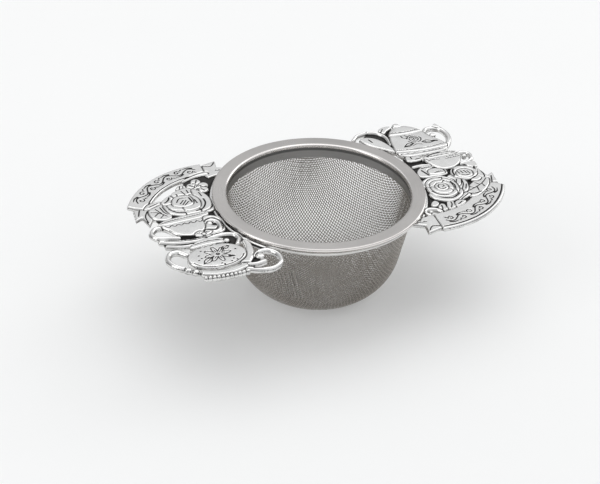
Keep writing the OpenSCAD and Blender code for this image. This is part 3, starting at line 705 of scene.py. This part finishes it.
def right_rose(r):
    petal(r, [50, -12.6], [53.4, -15.4], [58, -12.8], [61.8, -8.6], [63.2, -4.6], [60.4, -3.6], [56, -6.2],
          [52.4, -9.4])
    r.engrave(0.24, [[51.4, -12.6], [54.4, -13.6], [57, -12.8]])
    r.engrave(0.18, [[52, -11.6], [56, -9.8], [59.6, -7.4], [62, -4.8]], [[56.4, -12.2], [56.6, -9.6]],
              [[59.4, -9.8], [59.2, -7.6]], [[54.2, -8.8], [55.4, -10]], [[57, -6.8], [58, -8.3]])
    petal(r, [46.4, -17.4], [49.6, -15.6], [52.6, -13.8], [51.8, -11.8], [48.6, -13.2])
    r.engrave(0.18, [[48, -16], [51.6, -13.2]])
    petal(r, [36.3, -17.6], [36.6, -15.4], [38.4, -14.2], [39.6, -15.8], [38.4, -17.8])
    petal(r, [38.6, -21.2], [38, -18.6], [40, -16.6], [41.6, -18.4], [41, -20.8])
    petal(r, [41.6, -20.8], [41.4, -17.4], [43.6, -15.4], [45.2, -17.6], [44.2, -20.2])
    petal(r, [44.8, -19.9], [45, -17], [47.4, -16], [49.4, -17.2], [47.8, -18.9])
    r.engrave(0.2, [[39.2, -20.2], [39.6, -18]], [[42.4, -20.2], [43.4, -18.4], [43.6, -16.8]],
              [[45.8, -18.8], [47.6, -17.4]], [[41.2, -18.8], [41.9, -16.6]])
    tube(r, [[33.4, -22.2], [32.4, -20.2], [34.4, -18.6], [37, -19.4], [38.4, -21]], 0.95, 0.75)
    bead(r, 34.6, -20.7, 0.8, edge=0.6)

    petal(r, [50, -9.8], [51.6, -11.6], [53.6, -9.4], [54.6, -5.6], [53.4, -2.2], [51, -4.4])
    petal(r, [47.6, -1.8], [50, 0.8], [52.8, -0.4], [53, -3.6], [51.2, -7], [49.2, -6])
    r.engrave(0.18, [[51, -9.4], [52.6, -6.4], [53, -3.4]], [[50.2, -5.4], [51.4, -2.8]],
              [[52.2, -9.8], [53.6, -6.8]])
    petal(r, [39.2, -8.4], [38.2, -12.4], [41.4, -15.4], [45.4, -16], [49, -13.8], [51, -10.4], [49, -8])
    petal(r, [38.2, -5.4], [38.2, -1.6], [41.6, 0.8], [45.4, 1.2], [48.8, -0.6], [49.6, -4.6])
    r.engrave(0.28, [[39.6, -10.2], [42, -13.4], [45.6, -14.3], [48.8, -12.2]])
    r.engrave(0.18, [[40.2, -1.6], [43, 0], [46.6, -0.3]])
    petal(r, [47, -0.9], [43.4, 0.1], [39.9, -1.8], [38.8, -5.4], [40.4, -6.6], [43, -4.4], [46.6, -3.4])
    petal(r, [48, -11.6], [50.3, -8.6], [50.1, -4], [47.2, -0.9], [45.6, -2.6], [47, -7])
    petal(r, [38.7, -5.2], [38.9, -9.4], [41.6, -12.6], [45.4, -13.2], [48.6, -11.2], [48, -8.8],
          [44.4, -9.6], [41.2, -6.6])
    petal(r, [46.8, -2.5], [43.8, -1.7], [41, -3], [40.3, -6], [42, -6.6], [44, -4.8], [46.4, -4.6])
    petal(r, [46.6, -10.2], [48.5, -7.8], [48.4, -4.5], [46.6, -2.6], [45.3, -4.2], [46, -7.4])
    petal(r, [40.2, -5.6], [40.6, -8.8], [43, -10.9], [45.8, -11], [47.4, -9.4], [46.2, -7.6], [44, -8.3],
          [42, -6.2])
    petal(r, [46, -4.4], [43.8, -3.6], [42, -5.2], [42.2, -7.6], [44.2, -9], [46.3, -8], [46.8, -6])
    r.engrave(0.17, [[45.5, -7.4], [44, -8], [43, -6.8], [43.4, -5.2], [44.8, -4.9], [45.3, -6],
                     [44.5, -6.6]])
    r.engrave(0.2, [[39.7, -8.4], [41.6, -11.2], [44.6, -12.2]], [[48.7, -9], [49.2, -6.4], [48.6, -3.8]])

    petal(r, [58.4, 6.6], [60.6, 8.2], [62.8, 6.8], [62.2, 3.6], [59.6, 3.4])
    petal(r, [56.8, -2.6], [59.4, -1.4], [60.6, -4], [58.6, -5.8], [56.4, -5])
    petal(r, [50.9, 0.2], [51.2, 3.2], [53.8, 5.4], [57.6, 5.2], [60.6, 2.6], [60.3, -1], [57.6, -3.6],
          [54.8, -3.8], [52, -2])
    petal(r, [52.6, -0.8], [53.4, 2.4], [56.6, 3.4], [59, 1.2], [58, -2], [54.8, -2.6])
    r.engrave(0.18, [[53.6, 1.8], [53.9, 0.2]], [[54.8, 2], [55.2, 0.2]], [[56, 2], [56.6, 0]],
              [[57.2, 1.4], [57.6, -0.4]], [[54.4, -0.6], [56, -1.4], [57.4, -1]])
    r.engrave(0.28, [[51.6, -0.4], [51.8, 2], [52.8, 3.8]], [[55, -4.6], [57, -4], [59, -2.8]],
              [[60.3, 2.2], [60.9, 3.6]])
    petal(r, [39.4, 1.4], [39.2, 5.4], [42.4, 8.4], [46.6, 8], [49.8, 5.6], [49.8, 1.6], [45, 0.9])
    petal(r, [43.6, 2.4], [43.4, 5.4], [46.4, 6.4], [49.2, 4.6], [48.6, 2])
    r.engrave(0.3, [[41.2, 5.6], [42, 3.4], [42.6, 1.9]])
    r.engrave(0.2, [[45.4, 3.2], [47.4, 3.6], [48.6, 3.3]], [[41.6, 6.9], [44, 7.4], [47, 6.6]])


def right_cup(r):
    tube(r, [[39.2, 9.3], [43, 9.7], [46.4, 8.6]], 0.65, 0.7)
    petal(r, [38.8, 12.9], [39, 16.4], [43, 16.6], [44.9, 14.8], [43.8, 12.9])
    r.engrave(0.2, [[40.6, 16.2], [40.7, 14.4]], [[42, 13.8], [44, 14.2]])
    tube(r, [[58, 14.2], [60.6, 15.1], [62.9, 13.4], [62.5, 10.1], [60, 7.9], [57.2, 7.4]], 0.95, 0.8)
    bead(r, 60.6, 12.3, 0.95, edge=0.8)
    petal(r, [45, 13], [51, 13.4], [59, 14], [58.6, 10.6], [56.6, 7.2], [53.4, 5], [49.4, 4.8],
          [46.6, 7.8], dome=0.25, dome_r=4, line=0.32)
    r.engrave(0.15, [[45.7, 12.3], [48, 12.9], [50.4, 12.6]], [[45.9, 11.2], [48, 11.7], [50.4, 11.4]],
              [[52.6, 12.3], [55, 12.6], [58.4, 13]], [[52.8, 11.1], [55, 11.4], [58.5, 11.9]])
    petal(r, [45, 13.6], [46.8, 15.7], [51, 17], [56.4, 16.8], [59.2, 15.2], [56, 13.9], [50.6, 13.2],
          [47, 12.9])
    r.engrave(0.26, [[46.6, 14.4], [49, 15.6], [52, 16]])
    r.engrave(0.15, [[52, 16], [55.4, 15.9], [58.2, 15.3]], [[46.8, 13.9], [51, 14.4], [57.6, 14.9]])


def right_pot(r):
    petal(r, [35.6, 35.6], [36.6, 38.6], [40.2, 39.6], [41.6, 38.2], [39, 36.2], [37.6, 34.6])
    r.engrave(0.17, [[36.6, 36], [37.8, 37.8]])
    tube(r, [[24.9, 33.8], [27.2, 36.3], [31.2, 37.5], [35, 36.2], [37.2, 32.4], [37.1, 27]], 0.85, 0.7)
    r.engrave(0.17, [[31.3, 38.2], [31.1, 37.3]])
    petal(r, [26.6, 32.4], [29.6, 33.6], [33, 31.8], [35.4, 28], [36.8, 23.6], [36.9, 20.4], [33, 23.6],
          [29, 27.6], dome=0.15)
    r.engrave(0.24, [[30, 31.4], [30.4, 30.2], [30.7, 29.2]])
    tube(r, [[52.4, 32.2], [53.7, 34.3], [56.4, 35], [59.2, 33.4], [60.4, 30.2], [60.2, 26.6],
             [58.2, 22.6], [55.4, 19.2]], 1, 1.15)
    r.raise_(outline([[56.6, 35.4], [58.4, 37.3], [60.4, 34], [58, 34]]))
    tube(r, [[52.8, 31], [53.4, 29.2], [54.8, 28.8]], 0.8, 0.9)
    bead(r, 54.9, 29.7, 1.3, edge=1, rise=0.6)
    petal(r, [37.2, 20], [46, 19.8], [56.4, 20.6], [55, 17.4], [47, 16.4], [39.8, 16.4])
    r.engrave(0.14, [[38, 18.2], [46, 17.8], [54.6, 18.6]])
    r.raise_(outline(np.vstack([spline([[38.3, 31.6], [45, 31.4], [51.8, 32.6]]),
                                spline([[52, 32.2], [53.4, 28.6], [56, 25], [57.6, 21.6], [56.8, 20]]),
                                spline([[56.4, 19.8], [46.5, 18.9], [37, 20]]),
                                spline([[36.7, 20.4], [37.2, 26], [38.2, 31.4]])])), dome=0.25, dome_r=4,
             line=0.3)
    r.engrave(0.13, [[37.6, 21.2], [42, 20.5], [50, 20.6], [56.6, 22]])
    r.engrave(0.42, [[53.3, 24.4], [54.4, 24.2]])
    engraved_rose(r, 46.9, 27.4)
    petal(r, [38.3, 32.6], [40, 35.7], [43.4, 38], [46.8, 38], [49.8, 36], [51.8, 33.4], [50.8, 32.2],
          [45, 31.6], [39.4, 31.7], edge=0.7, dome=0.3, dome_r=3, line=0.34)
    r.engrave(0.15, [[39, 33.6], [44.6, 33.1], [50.6, 34]])
    bead(r, 43.9, 39.3, 1.8, edge=1.3, rise=0.8)


def engraved_rose(relief, x, y):
    """A rose with leaves cut into a pot's side."""
    petals = ((0.55, 0, 250), (1.25, 190, 160), (1.35, 10, 140), (2.1, 50, 100), (2.2, 165, 95),
              (2.3, 280, 110), (3.0, 95, 75), (3.1, 195, 60))
    for size, a, sweep in petals:
        relief.cut(arc((x, y), size, a, a + sweep, 9), 0.17)
    edges = ([[-1.6, -2.9], [-3.8, -2.6], [-5.9, -4.8]], [[-1.6, -2.9], [-3.6, -4.6], [-5.9, -4.8]],
             [[1.8, -2.6], [4, -1.9], [6.4, -3.4]], [[1.8, -2.6], [3.8, -4.1], [6.4, -3.4]],
             [[-2.6, 1.2], [-4.2, 1.8], [-4.4, 3.9]], [[-2.2, 2], [-2.9, 3.4], [-4.4, 3.9]])
    veins = ([[-2, -3.2], [-5.9, -4.8]], [[2.2, -2.8], [6.4, -3.4]],
             [[-2.4, -4.6], [-0.6, -3.7], [1.4, -4.4]])
    for width, lines in ((0.19, edges), (0.15, veins)):
        relief.engrave(width, *(np.array(line) + (x, y) for line in lines))


# ---------- the lug under the ring ----------
LUG_INNER = 34.4
LUG_ANGLE = 31           # each side of a handle's middle, degrees
LUG_THICK = 0.75
RIVET_HOLE_R = 1.17      # round a rivet's head
RIVET_RING_R = 35.2
RIVET_ANGLE = 24         # each side of a handle's middle, degrees


def ring_slice(inner, outer, turn):
    start, end = turn - LUG_ANGLE, turn + LUG_ANGLE
    return np.vstack([arc((0, 0), outer, start, end, 40), arc((0, 0), inner, end, start, 40)])


def lug(name, turn, node, material):
    """The tab under the ring, with a hole for each rivet's head, and the thick root behind it."""
    holes = []
    for side in (-1, 1):
        a = math.radians(turn + side * RIVET_ANGLE)
        centre = (RIVET_RING_R * math.cos(a), RIVET_RING_R * math.sin(a))
        holes.append(arc(centre, RIVET_HOLE_R, 360, 0, 24)[:-1])
    verts, faces = prism([ring_slice(LUG_INNER, RING_R + 0.1, turn)] + holes, 0, LUG_THICK)
    casting_piece(name, verts, faces, node, material)
    verts, faces = prism([ring_slice(RING_R + 0.1, COLLAR_R, turn)], 0, FOOT_H + 0.2)
    casting_piece(name + "_root", verts, faces, node, material)


# ---------- the wire cloth ----------
WIRE_R = 0.15
PITCH = 0.95
BLANK_R = 62             # half the width of the cloth before it is drawn
SIDES = 5                # of a wire's section
WARP_TURN = 33.0         # direction of the warp round the basket, degrees
NET = 0.7                # how far the cloth keeps its cells' sides, from 0 to 1, when it's drawn
PLEAT = 0.35             # depth of the pleats where the cloth gathers
PLEATS = 60              # all round


def cup_profile(count=1500):
    """The cloth's middle surface: distance along it from the centre, radius and height."""
    curve_top_z = CLOTH_HALF + CURVE_R - CURVE_R * math.sin(WALL_LEAN)
    curve_top_r = CLOTH_R - (CLAMP_Z - (curve_top_z - CLOTH_HALF)) * math.tan(WALL_LEAN)
    foot_r = curve_top_r - CURVE_R * math.cos(WALL_LEAN)
    a = np.linspace(-math.pi / 2, -WALL_LEAN, 60)
    rise = np.linspace(0, 1, 20)[1:]
    r = np.concatenate([np.linspace(0, foot_r, 20)[:-1], foot_r + CURVE_R * np.cos(a),
                        curve_top_r + (CLOTH_R - curve_top_r) * rise, [CLOTH_R, CLOTH_R + 0.01]])
    z = np.concatenate([np.full(19, CLOTH_HALF), CLOTH_HALF + CURVE_R + CURVE_R * np.sin(a),
                        curve_top_z + (CLAMP_Z - curve_top_z) * rise, [CLAMP_Z + 4, CLAMP_Z + 30]])
    s = np.concatenate([[0], np.cumsum(np.hypot(np.diff(r), np.diff(z)))])
    even = np.linspace(0, s[-1], count)
    return even, np.interp(even, s, r), np.interp(even, s, z)


PROFILE = cup_profile()


def on_cup(s, theta):
    r, z = np.interp(s, PROFILE[0], PROFILE[1]), np.interp(s, PROFILE[0], PROFILE[2])
    return np.stack([r * np.cos(theta), r * np.sin(theta), z], -1)


def net_nodes(count):
    """Places (s, theta) of the crossings in one quarter of a cloth whose cells keep their sides."""
    s = np.zeros((count, count))
    theta = np.zeros((count, count))
    s[:, 0] = s[0, :] = np.arange(count) * PITCH
    theta[0, :] = math.pi / 2
    theta[0, 0] = math.pi / 4
    h = 1e-4
    for diagonal in range(2, 2 * count - 1):
        i = np.arange(max(1, diagonal - count + 1), min(count, diagonal))
        j = diagonal - i
        one, other = on_cup(s[i - 1, j], theta[i - 1, j]), on_cup(s[i, j - 1], theta[i, j - 1])
        u = s[i - 1, j] + s[i, j - 1] - s[i - 1, j - 1]
        v = theta[i - 1, j] + theta[i, j - 1] - theta[i - 1, j - 1]
        if diagonal == 2:
            u, v = np.array([PITCH * math.sqrt(2)]), np.array([math.pi / 4])
        for _ in range(8):
            p = on_cup(u, v)
            ps, pt = (on_cup(u + h, v) - p) / h, (on_cup(u, v + h) - p) / h
            f1, f2 = ((p - one) ** 2).sum(-1) - PITCH ** 2, ((p - other) ** 2).sum(-1) - PITCH ** 2
            a, b = 2 * ((p - one) * ps).sum(-1), 2 * ((p - one) * pt).sum(-1)
            c, d = 2 * ((p - other) * ps).sum(-1), 2 * ((p - other) * pt).sum(-1)
            det = a * d - b * c
            det = np.where(np.abs(det) < 1e-3, 1e-3, det)
            u = u - np.clip((d * f1 - b * f2) / det, -0.3, 0.3)
            v = v - np.clip((a * f2 - c * f1) / det, -0.03, 0.03)
        s[i, j], theta[i, j] = u, v
    return s, theta


def cloth_nodes():
    """Places of all the crossings: part way between an even gather and the net."""
    count = int(BLANK_R / PITCH)
    s, theta = net_nodes(count)
    i, j = np.meshgrid(np.arange(count), np.arange(count), indexing="ij")
    flat_s, flat_theta = np.hypot(i, j) * PITCH, np.arctan2(j, i)
    s = NET * np.minimum(s, 90) + (1 - NET) * flat_s
    theta = NET * theta + (1 - NET) * flat_theta
    full_s = np.zeros((2 * count - 1, 2 * count - 1))
    x, y = full_s.copy(), full_s.copy()
    for si in (1, -1):
        for sj in (1, -1):
            gi, gj = count - 1 + si * i, count - 1 + sj * j
            full_s[gi, gj] = s
            x[gi, gj], y[gi, gj] = si * np.cos(theta), sj * np.sin(theta)
    return full_s, x, y


def wire_line(s, x, y, turn):
    """Places (s, theta) along one wire, a quarter of a cell before and after each crossing."""
    size = len(s)
    near = np.arange(size).repeat(2)
    far = np.clip(near + np.tile([-1, 1], size), 0, size - 1)
    px = 0.75 * s[near] * x[near] + 0.25 * s[far] * x[far]
    py = 0.75 * s[near] * y[near] + 0.25 * s[far] * y[far]
    return near, 0.75 * s[near] + 0.25 * s[far], np.arctan2(py, px) + turn


def unit(vectors):
    return vectors / np.maximum(np.linalg.norm(vectors, axis=1), 1e-9)[:, None]


def wire_tube(s, theta, side, turn, top_s):
    """Rings of points round one wire, which passes over where side is 1 and under where it's -1."""
    centre = on_cup(s, theta)
    along = unit(np.gradient(centre, axis=0))
    h = 0.05
    slope = unit(on_cup(s + h, theta) - on_cup(np.maximum(s - h, 0), theta))
    around = np.stack([-np.sin(theta), np.cos(theta), np.zeros_like(theta)], -1)
    normal = unit(np.cross(around, slope))
    gather = (s / top_s) ** 2 * np.clip(-np.cos(4 * (theta - turn)), 0, 1) ** 3
    pleat = PLEAT * gather * np.cos(PLEATS * (theta - turn)) * (s < top_s - 4)
    centre = centre + normal * (0.85 * WIRE_R * side + pleat)[:, None]
    across = np.cross(along, normal)
    angle = (np.arange(SIDES) * 2 * math.pi / SIDES)[None, :, None]
    spoke = np.cos(angle) * normal[:, None, :] + np.sin(angle) * across[:, None, :]
    return centre[:, None, :] + WIRE_R * spoke


def wires(name, family, half, nodes, material):
    """Half of the wires that run one way, each over and under the wires that cross it."""
    full_s, cos_t, sin_t = (n if family == 0 else n.T for n in nodes)
    size = full_s.shape[0]
    middle = size // 2
    turn = math.radians(WARP_TURN)
    top_s = float(np.interp(CLOTH_TOP_Z, PROFILE[2][600:], PROFILE[0][600:]))
    verts, quads, count = [], [], 0
    for row in range(middle + 1, size) if half else range(0, middle + 1):
        near, s, theta = wire_line(full_s[row], cos_t[row], sin_t[row], turn)
        kept = np.flatnonzero(s < top_s)
        if len(kept) < 4:
            continue
        keep = slice(kept[0], kept[-1] + 1)
        side = np.where((near[keep] + row + family) % 2 == 0, 1.0, -1.0)
        rings = wire_tube(s[keep], theta[keep], side, turn, top_s)
        verts.append(rings.reshape(-1, 3))
        first = np.arange(len(rings) - 1)[:, None] * SIDES
        k = first + np.arange(SIDES)[None, :]
        m = first + (np.arange(SIDES)[None, :] + 1) % SIDES
        quads.append(count + np.stack([k, k + SIDES, m + SIDES, m], -1).reshape(-1, 4))
        count += len(rings) * SIDES
    obj = make_object(name, np.vstack(verts), np.vstack(quads), material)
    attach(obj, "basket")
    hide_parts("mesh_cup")


# ---------- materials ----------
BRUSH_LINES_PER_M = 9000.0
BRUSH_DEPTH = 0.004 * MM


class Nodes:
    """Short names for building a node material."""

    def __init__(self, name):
        self.material = bpy.data.materials.new(name)
        self.material.use_nodes = True
        self.tree = self.material.node_tree
        self.shader = self.tree.nodes["Principled BSDF"]

    def feed(self, socket, value):
        if isinstance(value, bpy.types.NodeSocket):
            self.tree.links.new(value, socket)
        else:
            socket.default_value = value

    def add(self, kind, inputs=None, **settings):
        node = self.tree.nodes.new(kind)
        for key, value in settings.items():
            setattr(node, key, value)
        for key, value in (inputs or {}).items():
            self.feed(node.inputs[key], value)
        return node

    def set(self, **values):
        for key, value in values.items():
            self.feed(self.shader.inputs[key.replace("_", " ")], value)

    def object_place(self):
        return self.add("ShaderNodeTexCoord").outputs["Object"]

    def noise(self, vector, scale, detail=3.0, rough=0.55):
        return self.add("ShaderNodeTexNoise", {"Vector": vector, "Scale": scale, "Detail": detail,
                                               "Roughness": rough}).outputs["Fac"]

    def remap(self, value, low, high, to_low, to_high, curve="LINEAR"):
        return self.add("ShaderNodeMapRange", {"Value": value, "From Min": low, "From Max": high,
                                               "To Min": to_low, "To Max": to_high},
                        interpolation_type=curve).outputs["Result"]

    def mix(self, factor, one, other):
        """A colour between two colours, each a socket or three numbers."""
        one, other = ((*v, 1) if isinstance(v, tuple) else v for v in (one, other))
        return self.add("ShaderNodeMix", {"Factor": factor, 6: one, 7: other}, data_type="RGBA").outputs[2]

    def math(self, operation, *values):
        return self.add("ShaderNodeMath", dict(enumerate(values)), operation=operation).outputs[0]

    def bump(self, height, distance, strength=1.0):
        return self.add("ShaderNodeBump", {"Height": height, "Distance": distance,
                                           "Strength": strength}).outputs["Normal"]


def turned_steel(name, color, rough, brushing, highlight_below=0.0, shade_below=0.0):
    """Steel of a round piece: fine rings of brushing round Z, with faint smudges.

    Below a first given height its rounded lip is painted lighter, a painted highlight, and below a second
    the skirt is painted grey, a painted shade that darkens further down.
    """
    m = Nodes(name)
    place = m.object_place()
    xyz = m.add("ShaderNodeSeparateXYZ", {"Vector": place})
    x, y, z = (xyz.outputs[k] for k in "XYZ")
    radius = m.math("SQRT", m.math("ADD", m.math("MULTIPLY", x, x), m.math("MULTIPLY", y, y)))
    rings = m.add("ShaderNodeCombineXYZ", {"X": m.math("MULTIPLY", radius, BRUSH_LINES_PER_M),
                                           "Y": m.math("MULTIPLY", z, BRUSH_LINES_PER_M),
                                           "Z": m.math("MULTIPLY", m.math("ARCTAN2", y, x), 2.2)})
    grain = m.noise(rings.outputs[0], 1.0, 2.0)
    smudge = m.noise(place, 70.0, 4.0)
    # painted highlight mask: 1 below the lip's height
    lip_highlight = m.remap(z, highlight_below - 0.05 * MM, highlight_below, 1.0, 0.0)
    # painted shade mask: 1 on the skirt
    skirt = m.remap(z, shade_below - 0.3 * MM, shade_below, 1.0, 0.0)

    cast = m.math("MULTIPLY", m.noise(place, 14.0, 2.0), 1.6)
    worn = m.math("ADD", m.math("ADD", grain, smudge), cast)
    base = m.mix(m.remap(worn, 1.5, 2.15, 0.0, 1.0), color, tuple(0.8 * c for c in color))
    # painted highlight: the colour is lightened 1.55 times on the lip and below it
    base = m.mix(lip_highlight, base, tuple(min(1.0, 1.55 * c) for c in color))
    # painted shade on the skirt: grey 0.5 near its top, 0.2 further down
    shade = m.remap(z, shade_below - 1.5 * MM, shade_below - 1.2 * MM, 0.5, 0.2)
    painted_grey = m.add("ShaderNodeCombineXYZ", dict.fromkeys("XYZ", shade)).outputs[0]
    m.set(Base_Color=m.mix(skirt, base, painted_grey), Metallic=1.0, Anisotropic=0.35 if brushing else 0.0)

    dull = m.math("ADD", m.math("MULTIPLY", grain, brushing), smudge)
    smooth = m.remap(m.math("SUBTRACT", lip_highlight, skirt), 0.0, 1.0, 1.0, 0.55)
    m.set(Roughness=m.math("MULTIPLY", m.remap(dull, 0.35, 1.2, rough, rough + 0.16), smooth))
    if brushing:
        relief = m.math("MULTIPLY", grain, m.remap(lip_highlight, 0.0, 1.0, 1.0, 0.2))
        m.set(Normal=m.bump(relief, BRUSH_DEPTH, 0.6),
              Tangent=m.add("ShaderNodeTangent", direction_type="RADIAL", axis="Z").outputs[0])
    return m.material


def wire_steel(name, color, patch_color):
    """Drawn wire: slightly uneven, warmer and darker in patches."""
    m = Nodes(name)
    place = m.object_place()
    patch = m.noise(place, 55.0, 3.0)
    fine = m.noise(place, 2600.0, 2.0)
    uneven = m.math("ADD", m.math("MULTIPLY", patch, 1.4), fine)
    m.set(Base_Color=m.mix(m.remap(uneven, 0.9, 1.5, 0, 1), color, patch_color), Metallic=1.0,
          Roughness=m.remap(fine, 0.3, 0.7, 0.17, 0.27))
    return m.material


def antique_metal(name):
    """Cast metal blackened in its recesses and rubbed bright on top, with painted shade greying its sides,
    all from a point attribute.
    """
    m = Nodes(name)
    place = m.object_place()
    # the attribute holds the blackening on top and painted shade on the sides
    black = m.add("ShaderNodeAttribute", attribute_name="patina_and_painted_shade").outputs["Fac"]
    cloud = m.noise(place, 260.0, 4.0, 0.6)
    grain = m.noise(place, 1500.0, 3.0, 0.65)
    ragged = m.math("ADD", black, m.remap(cloud, 0.3, 0.7, -0.12, 0.12))
    amount = m.remap(ragged, 0.3, 0.7, 0.0, 1.0, "SMOOTHSTEP")
    bright = m.mix(m.remap(cloud, 0.35, 0.7, 0, 1), (0.81, 0.805, 0.795), (0.74, 0.735, 0.725))
    rough = m.math("ADD", m.remap(amount, 0, 1, 0.17, 0.55), m.remap(grain, 0.3, 0.7, -0.04, 0.05))
    m.set(Base_Color=m.mix(amount, bright, (0.018, 0.017, 0.016)), Metallic=m.remap(amount, 0, 1, 1.0, 0.55),
          Roughness=rough, Normal=m.bump(m.math("ADD", grain, cloud), 0.03 * MM, 0.5))
    return m.material


def floor_paint(name):
    """Matt white, very slightly uneven."""
    m = Nodes(name)
    place = m.object_place()
    m.set(Base_Color=m.mix(m.noise(place, 3.0, 3.0), (0.9, 0.9, 0.895), (0.87, 0.87, 0.865)),
          Roughness=m.remap(m.noise(place, 40.0), 0.3, 0.7, 0.55, 0.65))
    return m.material


# ---------- build ----------
pewter = antique_metal("antique_metal")
casting("left_relief_casting", left_relief(), "left_handle", pewter)
casting("right_relief_casting", right_relief(), "right_handle", pewter)
lug("left_lug", 180, "left_handle", pewter)
lug("right_lug", 0, "right_handle", pewter)

cloth = cloth_nodes()
wire = wire_steel("drawn_wire", (0.45, 0.432, 0.408), (0.34, 0.315, 0.285))
for family, thread in enumerate(("warp", "weft")):
    for half in (0, 1):
        wires("%s_wires_%d" % (thread, half + 1), family, half, cloth, wire)

# painted highlight: below this height the flange's colour is lightened
LIP_HIGHLIGHT_TOP = (HEIGHT - 0.06) * MM       # where the flange starts to round over, at both its edges
# painted shade: below this height the skirt's colour is painted grey
SKIRT_SHADE_TOP = (HEIGHT - 1.1) * MM
FINISHES = {
    "rim_flange": turned_steel("flange_steel", (0.52, 0.503, 0.49), 0.2, 1.0, LIP_HIGHLIGHT_TOP, SKIRT_SHADE_TOP),
    "holder_ring": turned_steel("ring_steel", (0.78, 0.77, 0.755), 0.07, 0.0),
    "clamp_band": turned_steel("band_steel", (0.66, 0.65, 0.635), 0.15, 0.5),
    "left_rivets": turned_steel("rivet_steel", (0.66, 0.65, 0.63), 0.3, 0.4),
}
FINISHES["right_rivets"] = FINISHES["left_rivets"]
for node, finish in FINISHES.items():
    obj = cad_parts[node]
    obj.data.materials.clear()
    obj.data.materials.append(finish)


# ---------- stage, lights and camera, in metres ----------
LIT_POINT = (0, 0, 0.03)


def make_floor():
    mesh = bpy.data.meshes.new("floor")
    mesh.from_pydata([(-4, -4, 0), (4, -4, 0), (4, 4, 0), (-4, 4, 0)], [], [(0, 1, 2, 3)])
    mesh.materials.append(floor_paint("floor_paint"))
    place_object("floor", mesh)


def area_light(name, place, size, power):
    """A soft white panel that faces the middle of the object."""
    data = bpy.data.lights.new(name, "AREA")
    data.shape = "RECTANGLE"
    data.size, data.size_y = size
    data.energy = power
    obj = place_object(name, data)
    obj.location = place
    obj.rotation_euler = (Vector(LIT_POINT) - Vector(place)).to_track_quat("-Z", "Y").to_euler()


def make_world():
    """A studio: dim at the horizon, bright overhead and brighter on the right."""
    world = bpy.data.worlds.new("studio")
    world.use_nodes = True
    nodes, links = world.node_tree.nodes, world.node_tree.links
    direction = nodes.new("ShaderNodeTexCoord")
    split = nodes.new("ShaderNodeSeparateXYZ")
    ramp = nodes.new("ShaderNodeValToRGB")
    links.new(direction.outputs["Generated"], split.inputs[0])
    links.new(split.outputs["Z"], ramp.inputs[0])
    side = nodes.new("ShaderNodeMapRange")
    links.new(split.outputs["X"], side.inputs["Value"])
    for key, value in (("From Min", -1.0), ("From Max", 1.0), ("To Min", 0.7), ("To Max", 1.3)):
        side.inputs[key].default_value = value
    shaded = nodes.new("ShaderNodeVectorMath")
    shaded.operation = "SCALE"
    links.new(ramp.outputs["Color"], shaded.inputs[0])
    links.new(side.outputs["Result"], shaded.inputs["Scale"])
    links.new(shaded.outputs[0], nodes["Background"].inputs["Color"])
    stops = ((0.0, 0.3), (0.2, 0.4), (0.45, 0.78), (0.7, 0.8), (1.0, 0.75))
    ramp.color_ramp.elements.remove(ramp.color_ramp.elements[1])
    for k, (place, value) in enumerate(stops):
        stop = ramp.color_ramp.elements[0] if k == 0 else ramp.color_ramp.elements.new(place)
        stop.position = place
        stop.color = (0.98 * value, 0.99 * value, value, 1)
    bpy.context.scene.world = world


def make_camera():
    """The camera that was fitted to the flange, a little rolled."""
    azimuth, elevation, roll = math.radians(-19), math.radians(33.17), math.radians(-1.858)
    distance = 0.6086
    target = Vector((-16.68, -29.59, HEIGHT)) * MM
    level = Vector((math.sin(azimuth), -math.cos(azimuth), 0))
    back = math.cos(elevation) * level + math.sin(elevation) * Vector((0, 0, 1))
    right = Vector((math.cos(azimuth), math.sin(azimuth), 0))
    up = back.cross(right)
    x = math.cos(roll) * right - math.sin(roll) * up
    y = math.sin(roll) * right + math.cos(roll) * up
    data = bpy.data.cameras.new("camera")
    data.lens, data.sensor_width = 108.0, 36.0
    data.clip_start, data.clip_end = 0.01, 50
    obj = place_object("camera", data)
    turned = Matrix((x, y, back)).transposed().to_4x4()
    obj.matrix_world = Matrix.Translation(target + back * distance) @ turned
    bpy.context.scene.camera = obj


bpy.context.scene.view_settings.view_transform = "Standard"
make_floor()
make_world()
area_light("overhead", (0.15, 0.35, 1.5), (1.8, 1.8), 8.5)
area_light("left_strip", (-1.1, -0.1, 0.5), (0.6, 1.2), 2.6)
area_light("right_strip", (1.2, 0.5, 0.55), (0.6, 1.2), 2.6)
make_camera()
